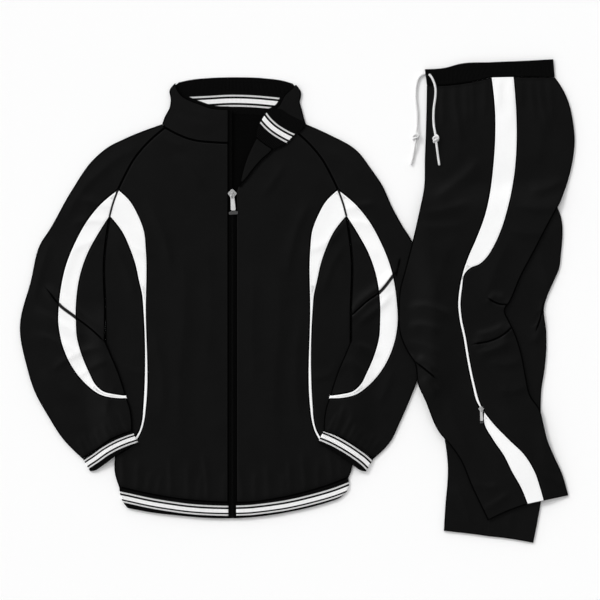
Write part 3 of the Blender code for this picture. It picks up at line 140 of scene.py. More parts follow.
# The drawcord's two free ends, as in the part's source: (along, down) in millimetres
CORD_RADIUS = 2.25 * MM
CORD_STEP = 5 * MM
CORD_GAP = 0.3 * MM
KNOT_LIFT = 2.9 * MM
KNOT_LEVEL_REACH = 12 * MM
KNOT_LIFT_REACH = 34 * MM
CORD_ON_FRONT = [(8, 30), (13, 36), (18, 46), (21, 58), (21, 74), (18, 96), (17, 117), (18, 134),
                 (20.5, 149.5), (21.75, 160), (23, 170.5), (25, 186), (29, 213)]
CORD_ON_FLOOR = [(0.2, 28.6), (-8, 32.5), (-13.5, 40), (-16.5, 50), (-18, 64), (-18, 80),
                 (-16, 98), (-15, 116), (-15.5, 132), (-17, 145.5), (-18, 156), (-19, 166.5),
                 (-22, 186), (-28, 212)]
KNOT_ON_FRONT = 9
KNOT_ON_FLOOR = 10

BRAID_STEP = 1.6 * MM
BRAID_PERIOD = 3.4 * MM
CORD_TIP = 1.4 * MM

# An overhand knot's turns round the cord: (across, along, above) in millimetres
KNOT_CORD_RADIUS = 2.07 * MM
KNOT_TURNS = [(0.0, 9.0, 0.0), (2.6, 7.0, 1.2), (4.6, 3.6, 2.0), (3.4, 0.2, 2.9),
              (-1.0, -1.6, 3.3), (-4.4, -3.4, 1.6), (-4.4, -5.6, -1.2), (-1.0, -5.4, -2.6),
              (3.2, -2.6, -2.4), (4.8, 0.6, -0.8), (2.4, 3.4, 2.8), (-1.8, 4.6, 3.1),
              (-4.7, 2.6, 1.4), (-4.2, -0.8, -1.0), (-1.6, -4.4, -1.4), (0.0, -9.0, 0.0)]

# Zip tape and teeth, in millimetres across the zip and above the cloth's face
TEETH_STEP = 2.5 * MM
TOOTH = [(-1.9, -0.55), (1.0, -0.55), (1.9, -0.8), (1.9, 0.8), (1.0, 0.55), (-1.9, 0.55)]
TOOTH_REACH = 1.15
TOOTH_TOP = 0.15
TAPE_TOP = -0.7
TAPE_BOTTOM = -1.5

# Rib knit: its period, and each stripe's place across a band
RIB_PERIOD = 2.6 * MM
WHITE_HALF = 3.95 * MM
THIN_MIDDLE = 9.2 * MM
THIN_HALF = 1.6 * MM
STRIPE_SOFT = 0.2 * MM
STRIPE_END = 5 * MM
FAR = 80 * MM

# The middle of each broad white stripe, and how far the thin ones are from it on the side
# of the collar or sleeve and on the other; (towards the left, up) in the jacket's millimetres
Stripes = namedtuple("Stripes", "points upper lower")
STRIPES = {
    "right_cuff": Stripes([(-300, 94), (-283, 108.5), (-268, 118.5), (-244, 135.5),
                           (-221, 148), (-202, 155.8), (-188, 160.5), (-170, 166)], 7.7, 8.4),
    "left_cuff": Stripes([(172, 170.5), (189, 165), (210, 156), (233, 143.5), (254, 130),
                          (271.5, 117), (290, 98)], 9.1, 9.1),
    "right_hem": Stripes([(-228, 45), (-204, 40), (-154, 29.2), (-115, 22.8), (-78, 18),
                          (-40, 15.3), (1, 14.2)], 9.3, 7.5),
    "left_hem": Stripes([(16, 14.6), (43, 15.6), (64, 17.7), (90, 21), (116, 25), (143, 30.6),
                         (169, 37), (194, 43.8), (215, 50.4), (232, 56.8), (250, 64)], 9.4, 7.5),
    "back_hem": Stripes([(-228, 45), (-154, 29), (-52, 16), (8, 15), (90, 21), (143, 31),
                         (194, 44), (250, 64)], 9.3, 7.5),
    "back_collar": Stripes([(-130, 830), (-45, 833.6), (8, 836.2), (47, 835.2), (84, 832.2),
                            (130, 827)], 10.1, 10.4),
    "turned_end": Stripes([(66, 808), (75.8, 794.6), (83.2, 787), (91.2, 780), (100.2, 773.8),
                           (109.2, 768.4), (118.4, 763.4), (136, 756)], 9.9, 9.8),
    "waistband": Stripes([(4, -30), (66, -29), (132, -21), (200, -18), (258, -18)], 9.2, 9.2),
}

# Where the pulls lie, so that the cloth is calm there
FRONT_SLIDER_LINE = [(8.5, 660), (8.5, 606)]
ANKLE_SLIDER_LINE = [(112.2, -695), (113.5, -731)]

# Camera: how wide it sees, where, and its lens
SCENE_WIDTH = 1.2
VIEW_MIDDLE = (5.2 * MM, 2 * MM)
LENS = 200.0
SENSOR = 36.0

# Light: where the key comes from, its strength and spread; the tent's brightness overhead,
# how much brighter its sides are, where it is darkest, and how much the key's side gains
KEY_FROM = (-0.9, 0.9, 0.85)
KEY_STRENGTH = 1.24
KEY_ANGLE = 14
TENT_TOP = 0.1
TENT_SIDES = 1.12
TENT_KEY_SIDE = 0.35
DARK_TOP = (0.25, -0.3, 1.0)

# The largest folds, as in the part's source: their crest's points, half their width, and their height, all in
# millimetres; the sleeves' points are (towards the wearer's left, up from the hem), and the
# legs' are (from the waist's front corner to the back, down from the waist)
Fold = namedtuple("Fold", "points half_width height")
SLEEVE_FOLDS = [
    Fold([(-362, 474), (-337, 447), (-306, 421), (-272, 393), (-250, 370)], 8, 3.4),
    Fold([(-358, 453), (-337, 427), (-306, 403), (-272, 377), (-248, 355)], 4.2, -2.0),
    Fold([(-392, 424), (-352, 399), (-312, 378), (-276, 352)], 9, 2.9),
    Fold([(-400, 372), (-360, 360), (-318, 342), (-284, 322)], 9, 2.2),
    Fold([(338, 500), (310, 468), (284, 448), (264, 432), (246, 412)], 8, 3.2),
    Fold([(330, 485), (303, 452), (279, 435), (260, 418), (240, 399)], 4.2, -2.0),
    Fold([(332, 456), (306, 426), (280, 404), (256, 386)], 8, 2.8),
    Fold([(250, 350), (276, 342), (306, 322)], 8, 2.0),
]
LEFT_LEG_FOLDS = [
    Fold([(10, 286), (44, 262), (84, 230), (116, 192)], 13, 2.6),
    Fold([(284, 236), (244, 258), (204, 264)], 13, 2.3),
    Fold([(-40, 500), (-10, 494), (30, 502), (60, 520)], 10, 2.8),
    Fold([(-40, 536), (-8, 532), (36, 546)], 9, 2.3),
    Fold([(128, 470), (146, 475), (162, 478)], 8, 2.4),
    Fold([(128, 482), (146, 489), (160, 492)], 4.2, -2.0),
    Fold([(96, 552), (128, 547), (150, 538), (164, 524)], 8, 2.8),
    Fold([(101, 570), (130, 564), (151, 555), (166, 544)], 4.2, -2.0),
    Fold([(98, 588), (132, 582), (156, 571), (174, 556)], 8, 3.0),
    Fold([(-16, 592), (4, 606), (24, 626)], 8, 2.9),
    Fold([(-16, 609), (-2, 619), (16, 634)], 4.2, -2.0),
    Fold([(-6, 634), (10, 650), (28, 672)], 8, 2.4),
]
RIGHT_LEG_FOLDS = [
    Fold([(234, 500), (227, 518), (219, 536)], 4.0, -1.6),
    Fold([(236, 534), (228, 552), (214, 570)], 8, 1.8),
]
FOLD_ENDS = 0.3
FOLD_LEAN = 1.25
FOLD_SPREAD = 2.4
ROUND_SHARE = 0.45
DEEPEST_FOLD = 1.2 * MM
HIGHEST_FOLD = 5.0 * MM
FOLD_STEP = 6 * MM

# Smaller folds, as rows of the same kind: of the jacket's body, the sleeves and each leg
BODY_FOLDS = [
    Fold([(-95, 575), (-86, 430), (-98, 260), (-90, 105)], 18, 1.3),
    Fold([(98, 560), (104, 410), (92, 245), (101, 115)], 19, 1.2),
    Fold([(-44, 590), (-36, 430), (-45, 270)], 15, 0.8),
    Fold([(56, 540), (48, 390), (57, 220)], 16, 0.9),
    Fold([(-172, 650), (-130, 572), (-112, 480)], 10, 1.6),
    Fold([(172, 650), (134, 566), (118, 470)], 10, 1.5),
    Fold([(-238, 600), (-196, 548), (-140, 524)], 8, 1.5),
    Fold([(238, 598), (198, 552), (146, 530)], 8, 1.4),
    Fold([(-240, 560), (-204, 500), (-184, 430)], 8, 1.1),
    Fold([(240, 556), (206, 500), (188, 436)], 8, 1.0),
    Fold([(-110, 735), (-74, 700), (-44, 655)], 9, 1.1),
    Fold([(116, 715), (92, 676), (66, 640)], 9, 1.0),
    Fold([(-158, 400), (-132, 290), (-138, 180)], 12, 1.1),
    Fold([(150, 420), (136, 300), (146, 190)], 12, 1.2),
    Fold([(-248, 330), (-196, 296), (-150, 288)], 9, 0.9),
    Fold([(248, 322), (200, 286), (156, 280)], 9, 1.0),
    Fold([(-118, 812), (-66, 790), (-18, 786)], 10, 0.7),
    Fold([(-112, 846), (-70, 815), (-20, 806)], 9, 0.5),
    Fold([(-150, 780), (-120, 756), (-80, 742)], 8, 0.8),
]
SMALL_SLEEVE_FOLDS = [
    Fold([(-222, 616), (-262, 630), (-306, 640)], 7, 1.6),
    Fold([(-228, 592), (-272, 596), (-318, 588)], 7, 1.4),
    Fold([(-240, 560), (-280, 552), (-316, 530)], 8, 1.1),
    Fold([(222, 614), (262, 626), (300, 632)], 7, 1.5),
    Fold([(228, 590), (268, 592), (306, 582)], 7, 1.3),
    Fold([(240, 556), (276, 546), (308, 522)], 8, 1.0),
    Fold([(-164, 748), (-220, 722), (-268, 680)], 12, 1.1),
    Fold([(-230, 712), (-286, 664), (-330, 588)], 11, 1.3),
    Fold([(186, 740), (236, 716), (278, 670)], 12, 1.0),
    Fold([(-352, 566), (-376, 490), (-392, 424)], 10, 1.3),
    Fold([(-296, 566), (-322, 500), (-332, 436)], 9, 1.0),
    Fold([(-240, 340), (-282, 336), (-322, 318), (-360, 288)], 7, 1.7),
    Fold([(-232, 318), (-272, 302), (-308, 276)], 7, 1.4),
    Fold([(-382, 304), (-342, 268), (-294, 236)], 10, 1.3),
    Fold([(-350, 226), (-312, 196), (-276, 168)], 9, 1.0),
    Fold([(-220, 274), (-240, 232), (-248, 190)], 7, 1.1),
    Fold([(230, 326), (266, 300), (302, 268)], 7, 1.4),
    Fold([(334, 306), (318, 262), (298, 222)], 9, 1.0),
    Fold([(220, 268), (244, 226), (254, 186)], 7, 1.1),
]
SMALL_LEFT_LEG_FOLDS = [
    Fold([(-14, 306), (44, 300), (98, 280)], 10, 1.5),
    Fold([(-20, 332), (34, 336), (88, 328)], 11, 1.2),
    Fold([(276, 294), (226, 300), (180, 290)], 10, 1.4),
    Fold([(250, 344), (206, 350), (164, 340)], 10, 1.1),
    Fold([(222, 90), (232, 160), (222, 226)], 15, 1.0),
    Fold([(60, 90), (70, 160), (58, 228)], 15, 1.0),
    Fold([(58, 344), (30, 430), (14, 510)], 15, 1.4),
    Fold([(174, 352), (136, 432), (116, 506)], 14, 1.4),
    Fold([(-46, 562), (-2, 574), (42, 594)], 8, 1.4),
    Fold([(196, 600), (160, 612), (124, 602)], 9, 1.4),
    Fold([(212, 652), (176, 664), (142, 660)], 9, 1.2),
    Fold([(36, 662), (66, 740), (102, 812)], 13, 1.3),
    Fold([(146, 684), (186, 744), (218, 806)], 12, 1.3),
    Fold([(228, 734), (244, 790), (266, 844)], 10, 1.1),
    Fold([(90, 842), (124, 856), (156, 850)], 8, 1.2),
    Fold([(112, 902), (146, 884), (174, 862)], 7, 1.2),
    Fold([(290, 854), (258, 842), (234, 824)], 7, 1.1),
]
SMALL_RIGHT_LEG_FOLDS = [
    Fold([(246, 492), (240, 520), (233, 546)], 7, 1.3),
    Fold([(218, 374), (240, 420), (248, 476)], 9, 1.1),
    Fold([(56, 842), (78, 886), (96, 938)], 10, 1.2),
    Fold([(176, 892), (170, 930), (176, 958)], 9, 1.0),
]

# Sharp creases: their points, and how high the cloth swells beside them, in millimetres
Crease = namedtuple("Crease", "points swell")
SLEEVE_CREASES = [
    Crease([(-372, 470), (-358, 453), (-337, 427), (-306, 403), (-272, 377), (-248, 355),
            (-234, 342)], 2.4),
    Crease([(344, 504), (330, 485), (303, 452), (279, 435), (260, 418), (240, 399), (228, 388)],
           2.4),
    Crease([(345, 524), (342, 510), (338, 492), (336, 482)], 1.6),
]
LEFT_LEG_CREASES = [
    Crease([(122, 476), (135, 484), (146, 489), (164, 492), (180, 493)], 1.9),
    Crease([(90, 573), (101, 570), (130, 564), (151, 555), (166, 544), (173, 537), (186, 526)],
           2.2),
    Crease([(-36, 594), (-21, 605), (-2, 619), (16, 634), (26, 643)], 2.0),
]
RIGHT_LEG_CREASES = [
    Crease([(239, 482), (237, 496), (232, 516), (226, 534), (222, 548)], 1.5),
]
CREASE_SHARPNESS = 1.1 * MM
CREASE_SWELL_REACH = 9 * MM
CREASE_LEAN = 1.6
CREASE_ENDS = 0.16
CREASE_STEP = 3 * MM
# Painted shade: how strongly and how far a crease is darkened, the least shade of a face and the reach from
# an edge within which faces are painted near-black, where the groove between white pieces is fully and then
# no longer darkened, and how strongly and how far the cloth is darkened beside the ribs
CREASE_SHADE = 1.8
CREASE_SHADE_REACH = 2.0 * MM
CREASE_SHADED_FACE = 0.75
EDGE_SHADE_REACH = 2.05 * MM
WHITE_SEAM_FULL_SHADE = 0.9 * MM
WHITE_SEAM_SHADE_REACH = 2.3 * MM
RIB_SHADE = 0.8
RIB_SHADE_REACH = 7 * MM

# Gathers along a seam: how far apart, how long, how wide and how high, in millimetres
HEM_GATHERS = {"step": 24, "length": 76, "width": 6.5, "height": 1.0}
CUFF_GATHERS = {"step": 13, "length": 52, "width": 4.2, "height": 1.2}
WAIST_GATHERS = {"step": 19, "length": 84, "width": 6.0, "height": 1.2}
GATHER_START = 0.1

# Unevenness of laid cloth: (wavelength, height)
UNEVENNESS = [(120 * MM, 0.5 * MM), (46 * MM, 0.26 * MM), (19 * MM, 0.09 * MM)]
SMALL_PART_CALM = 16 * MM

# Seam lines of the jacket, shared by both sides: (out from the middle, up from the hem)
JACKET_LINES = {
    "raglan": [(126, 782), (166, 746), (188, 719), (207, 685), (220, 658)],
    "raglan_back": [(118, 793), (158, 752), (186, 716), (206, 685), (220, 658)],
    "armhole": [(220, 658), (230, 631), (237, 605)],
    "crescent_outer": [(220, 658), (257, 627), (284, 593), (307, 551), (324, 509), (338, 437),
                       (340, 391), (334, 354), (303, 289), (281, 265), (255, 247), (230, 241),
                       (202, 240)],
    "crescent_inner": [(237, 605), (261, 567), (280, 532), (293, 497), (304, 427), (304, 396),
                       (302, 363), (292, 326), (278, 293), (264, 267), (250, 255), (227, 249),
                       (204, 246)],
    "side_upper": [(237, 605), (248, 517), (246, 419), (246, 357)],
    "sleeve_inner_upper": [(246, 357), (233, 326), (219, 293), (210, 266), (204, 246)],
    "sleeve_inner_tail": [(204, 246), (202, 240)],
    "sleeve_inner_lower": [(202, 240), (196, 222), (191, 174)],
    "insert_outer": [(220, 658), (196, 635), (180, 607), (168, 575), (164, 537), (164, 420),
                     (164, 221), (167, 197), (173, 175), (181, 159)],
    "insert_inner": [(237, 605), (212, 573), (197, 541), (186, 509), (179, 477), (172, 445),
                     (170, 420), (170, 221), (172, 197), (178, 175), (185, 163)],
    "cuff_seam": [(291, 119), (263, 137), (231, 159), (191, 174)],
    "cuff_outer_edge": [(291, 119), (276, 94)],
    "cuff_bottom": [(276, 94), (266, 96), (252, 105), (218, 130), (180, 153)],
    "cuff_inner_edge": [(191, 174), (180, 153)],
}

# Lines that differ between the sides: (out from the middle, up from the hem)
RIGHT_LINES = {
    "sleeve_neck": [(132, 789), (126, 782)],
    "sleeve_neck_back": [(132, 789), (118, 793)],
    "overarm": [(132, 789), (207, 760), (242, 742), (269, 719), (314, 655), (360, 574),
                (374, 553), (395, 475), (417, 381), (404, 307), (387, 253), (360, 204),
                (330, 158), (291, 119)],
    "tail_outer": [(181, 159), (200, 141), (226, 128)],
    "tail_inner": [(185, 163), (203, 147), (227, 134)],
    "side_middle": [(246, 357), (244, 290), (236, 200), (227, 134)],
    "side_piping": [(227, 134), (226, 128)],
    "side_lower": [(226, 128), (227, 93), (218, 62)],
    "band_side": [(218, 62), (213, 38), (202, 21)],
}
LEFT_LINES = {
    "sleeve_neck": [(156, 789), (126, 782)],
    "sleeve_neck_back": [(156, 789), (118, 797)],
    "overarm": [(156, 789), (201, 769), (259, 735), (286, 700), (309, 666), (328, 624),
                (347, 589), (368, 555), (386, 490), (400, 410), (395, 320), (374, 263),
                (343, 190), (326, 155), (291, 119)],
    "tail_outer": [(181, 159), (206, 144), (248, 134)],
    "tail_inner": [(185, 163), (208, 150), (248, 140)],
    "side_middle": [(246, 357), (247, 290), (248, 200), (248, 140)],
    "side_piping": [(248, 140), (248, 134)],
    "side_lower": [(248, 134), (248, 101), (241, 81)],
    "band_side": [(241, 81), (241, 60), (223, 40)],
}

# Lines across the jacket: (towards the wearer's left, up from the hem)
ACROSS_LINES = {
    "hem_right": [(-218, 62), (-148, 46.5), (-96, 38), (-43, 33), (1, 31)],
    "hem_left": [(16, 31), (34, 31), (103, 40), (156, 52), (202, 66), (241, 81)],
    "band_bottom_right": [(-202, 21), (-154, 12), (-93, 5), (-46, 1), (1, 0)],
    "band_bottom_left": [(16, 0), (56, 3), (123, 13), (190, 29), (223, 40)],
    "hem_back": [(-218, 62), (-148, 46.5), (-43, 33), (34, 31), (103, 40), (156, 52),
                 (202, 66), (241, 81)],
    "band_bottom_back": [(-202, 21), (-93, 5), (8, 0), (123, 13), (190, 29), (223, 40)],
    "front_right": [(1, 31), (1, 751)],
    "band_end_right": [(1, 31), (1, 0)],
    "front_left": [(16, 31), (16, 655)],
    "band_end_left": [(16, 31), (16, 0)],
    "roll": [(16, 655), (21, 668), (37, 721), (57, 763)],
    "neck_right": [(-126, 782), (-102, 769), (-80, 760), (-58, 755), (-37, 753), (1, 751)],
    "neck_left": [(57, 763), (82, 758), (104, 766), (126, 782)],
    "neck_back": [(-118, 793), (-70, 803), (14, 809), (80, 805), (118, 797)],
    "collar_end_right": [(1, 751), (1, 819)],
    "collar_side_right": [(-132, 789), (-127, 803), (-117, 823), (-115, 838), (-117, 857),
                          (-106, 871)],
    "collar_side_left": [(156, 789), (154, 795), (148, 817), (144, 832), (146, 853),
                         (136, 868)],
    "collar_top_back": [(-106, 871), (-74, 878), (-28, 882), (18, 883), (72, 881), (110, 876),
                        (136, 868)],
    "collar_top_right": [(-106, 871), (-102, 860), (-93, 847), (-74, 836), (-58, 830),
                         (-35, 822), (1, 819)],
    "collar_top_left": [(136, 868), (128, 861), (113, 847), (100, 825), (78, 813)],
    "collar_roll": [(78, 813), (66, 795), (59, 779), (57, 763)],
    "turned_top": [(78, 813), (100, 820), (126, 806), (152, 794)],
    "turned_end": [(152, 794), (152, 785), (134, 769), (112, 748), (91, 739)],
    "turned_neck": [(91, 739), (72, 751), (57, 763)],
    "facing_roll": [(22, 664), (37, 721), (57, 763)],
    "facing_free": [(91, 739), (85, 733), (67, 717), (52, 700), (35, 678), (22, 664)],
}

# Lines of the trousers: (from the waist's front corner to the back, down from the waist)
TROUSER_LINES = {
    "waist_top": [(0, 20), (41, 17), (71, 9), (132, 6), (202, 3), (257, 0)],
    "waist_front": [(0, 20), (4, 52)],
    "waist_back": [(257, 0), (260, 36)],
    "waist_seam_front": [(4, 52), (33, 52), (94, 45), (133, 36)],
    "waist_seam_stripe": [(133, 36), (178, 35)],
    "waist_seam_rear": [(178, 35), (260, 36)],
    "stripe_front": [(133, 36), (140, 106), (140, 162), (136, 218), (130, 266), (119, 314),
                     (101, 362), (87, 394), (77, 422), (69, 458), (66, 490), (69, 522),
                     (76, 554), (84, 602), (94, 650), (105.5, 690), (117.6, 706.6)],
    "stripe_rear": [(178, 35), (184, 122), (184, 172), (179, 234), (166, 298), (151, 346),
                    (136, 378), (126, 394), (110, 410), (90, 419), (81, 428), (74.5, 459),
                    (71.5, 490), (74.5, 522), (81.5, 554), (89.5, 602), (99.5, 650),
                    (111, 690), (118.8, 705.8)],
    "gusset_top": [(117.6, 706.6), (118.8, 705.8)],
    "gusset_front": [(117.6, 706.6), (118.2, 728), (135, 760), (158, 794), (174, 826),
                     (192, 858), (205, 890)],
    "gusset_rear": [(118.8, 705.8), (137, 729), (168, 761), (201, 794), (220, 826),
                    (231, 858), (238, 883)],
    "front_hip": [(4, 52), (3, 112), (0, 200), (-2, 260), (-8, 290)],
    "front_leg": [(-8, 290), (-26, 368), (-39, 418), (-51, 466), (-53, 506), (-51, 546),
                  (-35, 586), (-21, 608), (-14, 651), (0, 682), (28, 746), (53, 776),
                  (68, 797), (93, 854), (126, 923)],
    "back_hip": [(260, 36), (275, 58), (289, 90), (296, 122), (300, 162), (296, 202),
                 (289, 234), (271, 286)],
    "back_leg": [(271, 286), (247, 330), (220, 382), (191, 437), (171, 484), (160, 503),
                 (168, 523), (180, 548), (194, 593), (202, 635), (211, 673), (230, 702),
                 (237, 730), (245, 762), (258, 794), (273, 826), (287, 873)],
    "left_hem_front": [(126, 923), (164, 905), (205, 890)],
    "left_hem_gusset": [(205, 890), (238, 883)],
    "left_hem_rear": [(238, 883), (287, 873)],
    "lower_front": [(2, 292), (8, 340), (16, 400), (22, 470), (26, 560), (28, 650), (34, 720),
                    (39, 757), (43, 782), (46, 816), (45, 850), (42, 882), (38, 944)],
    "lower_back": [(264, 292), (272, 314), (272, 394), (269, 418), (259, 442), (245, 474),
                   (239, 494), (243, 546), (243, 586), (240, 618), (233, 666), (232, 700),
                   (233, 760), (233, 840), (232, 886), (226, 922), (217, 968)],
    "lower_hem_front": [(38, 944), (107, 952), (128, 955)],
    "lower_hem_rear": [(128, 955), (164, 959), (217, 968)],
    "outseam": [(150, 36), (155, 170), (150, 292), (120, 400), (108, 500), (112, 650),
                (122, 800), (128, 955)],
    "crotch_front": [(2, 292), (60, 300), (130, 302)],
    "crotch_rear": [(130, 302), (200, 300), (264, 292)],
    "inseam_lower": [(130, 302), (118, 400), (112, 500), (114, 650), (122, 800), (128, 955)],
    "crotch_front_left": [(-8, 290), (60, 300), (130, 302)],
    "crotch_rear_left": [(130, 302), (200, 300), (271, 286)],
    "inseam_left": [(130, 302), (100, 400), (80, 500), (96, 600), (120, 700), (165, 800),
                    (200, 892)],
    "left_hem_inner_front": [(126, 923), (164, 905), (200, 892)],
    "left_hem_inner_rear": [(200, 892), (238, 883), (287, 873)],
    "join_front": [(-8, 290), (2, 292)],
    "join_back": [(264, 292), (271, 286)],
    "waist_seam_floor_front": [(4, 52), (33, 52), (94, 45), (150, 36)],
    "waist_seam_floor_rear": [(150, 36), (260, 36)],
}


def soft_line(points, step=LINE_STEP):
    """A soft curve through the points, in even steps, as an array of metres."""
    knots = np.array(points, float) * MM
    spans = np.linalg.norm(np.diff(knots, axis=0), axis=1)
    slopes = np.diff(knots, axis=0) / spans[:, None]
    tangents = np.zeros_like(knots)
    if len(knots) == 2:
        tangents[:] = slopes[0]
    else:
        share = spans[1:, None] / (spans[1:] + spans[:-1])[:, None]
        tangents[1:-1] = slopes[:-1] * share + slopes[1:] * (1 - share)
        tangents[0] = (1 + END_BEND) * slopes[0] - END_BEND * tangents[1]
        tangents[-1] = (1 + END_BEND) * slopes[-1] - END_BEND * tangents[-2]
    fine = [knots[0]]
    for index, span in enumerate(spans):
        for part in np.linspace(0, 1, CURVE_PARTS + 1)[1:]:
            near = 2 * part ** 3 - 3 * part ** 2 + 1
            far = 3 * part ** 2 - 2 * part ** 3
            leave = (part ** 3 - 2 * part ** 2 + part) * span
            arrive = (part ** 3 - part ** 2) * span
            fine.append(near * knots[index] + far * knots[index + 1]
                        + leave * tangents[index] + arrive * tangents[index + 1])
    fine = np.array(fine)
    run = np.concatenate([[0], np.cumsum(np.linalg.norm(np.diff(fine, axis=0), axis=1))])
    count = max(1, round(run[-1] / step))
    even = np.linspace(0, run[-1], count + 1)
    return np.column_stack([np.interp(even, run, column) for column in fine.T])


def soft_step(value):
    """0 below 0, 1 above 1, smooth between."""
    value = np.clip(value, 0, 1)
    return value * value * (3 - 2 * value)


def distance_to(places, line):
    """How far each place is from a line."""
    best = np.full(len(places), np.inf)
    for start, end in zip(line[:-1], line[1:]):
        along = end - start
        part = np.clip(((places - start) @ along) / (along @ along), 0, 1)
        best = np.minimum(best, np.linalg.norm(places - start - part[:, None] * along, axis=1))
    return best


def is_inside(places, ring):
    """Which places lie inside a closed ring."""
    inside = np.zeros(len(places), bool)
    for start, end in zip(ring, np.roll(ring, -1, axis=0)):
        crosses = (start[1] > places[:, 1]) != (end[1] > places[:, 1])
        if start[1] != end[1]:
            reach = start[0] + (places[:, 1] - start[1]) * (end[0] - start[0]) / (end[1] - start[1])
            inside ^= crosses & (places[:, 0] < reach)
    return inside


def distance_outside(places, ring):
    """How far each place is outside a closed ring, 0 within it."""
    closed = np.vstack([ring, ring[:1]])
    return np.where(is_inside(places, ring), 0, distance_to(places, closed))


def join_lines(*lines):
    """Lines run head to tail into one closed ring."""
    return np.vstack([line[:-1] for line in lines])


def inset_ring(ring, widths):
    """Move a ring inwards, each of its edges by its own width."""
    after = np.roll(ring, -1, axis=0)
    edges = after - ring
    area = np.sum(ring[:, 0] * after[:, 1] - after[:, 0] * ring[:, 1])
    lengths = np.linalg.norm(edges, axis=1)[:, None]
    inward = np.sign(area) * np.column_stack([-edges[:, 1], edges[:, 0]]) / lengths
    moved = ring.copy()
    for index in range(len(ring)):
        before, behind = inward[index - 1], widths[index - 1]
        here, width = inward[index], widths[index]
        facing = float(before @ here)
        if facing < SHARP_CORNER and abs(behind - width) > SEAM:
            behind, width = max(behind, BLUNT_INSET), max(width, BLUNT_INSET)
        if facing > STRAIGHT_ON:
            moved[index] += (before + here) * max(behind, width) / (1 + facing)
        elif abs(behind - width) < SAME_INSET:
            moved[index] += (before + here) * width / max(1 + facing, SHARPEST)
        else:
            turn = 1 - facing * facing
            moved[index] += (before * (behind - width * facing)
                             + here * (width - behind * facing)) / max(turn, SHARPEST)
    return moved


def beside(places, line):
    """How far each place is from a line, how far along it as a share, and on which side."""
    best = np.full(len(places), np.inf)
    share, side = np.zeros(len(places)), np.ones(len(places))
    lengths = np.linalg.norm(np.diff(line, axis=0), axis=1)
    run = np.concatenate([[0], np.cumsum(lengths)])
    for index, (start, end) in enumerate(zip(line[:-1], line[1:])):
        way = end - start
        part = np.clip(((places - start) @ way) / (way @ way), 0, 1)
        off = places - start - part[:, None] * way
        distance = np.linalg.norm(off, axis=1)
        nearer = distance < best
        best = np.where(nearer, distance, best)
        share = np.where(nearer, (run[index] + part * lengths[index]) / run[-1], share)
        side = np.where(nearer, np.sign(way[0] * off[:, 1] - way[1] * off[:, 0]), side)
    return best, share, side


def lay_folds(folds, up=1):
    """The folds of a table, with their lines and sizes in metres."""
    return [Fold(soft_line([(x, up * y) for x, y in fold.points], FOLD_STEP),
                 fold.half_width * MM, fold.height * MM) for fold in folds]


def fold_height(places, folds):
    """How far the folds lift the cloth: each leans to one side, and fades at its ends."""
    total = np.zeros(len(places))
    for fold in folds:
        reach = FOLD_SPREAD * FOLD_LEAN * fold.half_width
        low, high = fold.points.min(axis=0) - reach, fold.points.max(axis=0) + reach
        near = np.flatnonzero(((places > low) & (places < high)).all(axis=1))
        away, share, side = beside(places[near], fold.points)
        width = fold.half_width * np.where(side > 0, 1 / FOLD_LEAN, FOLD_LEAN)
        ends = soft_step(share / FOLD_ENDS) * soft_step((1 - share) / FOLD_ENDS)
        rounded = np.exp(-(away / width) ** 2)
        crest = np.clip(1 - away / (FOLD_SPREAD * width), 0, 1) ** 2
        total[near] += fold.height * ends * (ROUND_SHARE * rounded + (1 - ROUND_SHARE) * crest)
    return np.clip(total, -DEEPEST_FOLD, HIGHEST_FOLD)


def thickness_of(triangle):
    """The least height of a flat triangle."""
    sides = np.roll(triangle, -1, axis=0) - triangle
    area = abs(sides[0][0] * sides[1][1] - sides[0][1] * sides[1][0])
    return area / np.linalg.norm(sides, axis=1).max()


def lattice_within(ring, pitch):
    """Places of an even three-way lattice that lie well inside a ring."""
    low, high = ring.min(axis=0), ring.max(axis=0)
    row_step = pitch * math.sqrt(0.75)
    places = []
    for row in range(math.floor(low[1] / row_step), math.ceil(high[1] / row_step) + 1):
        shift = pitch / 2 if row % 2 else 0.0
        for column in range(math.floor(low[0] / pitch) - 1, math.ceil(high[0] / pitch) + 1):
            places.append((column * pitch + shift, row * row_step))
    places = np.array(places)
    places = places[is_inside(places, ring)]
    if len(places) == 0:
        return places
    return places[distance_to(places, np.vstack([ring, ring[:1]])) > EDGE_CLEARANCE * pitch]


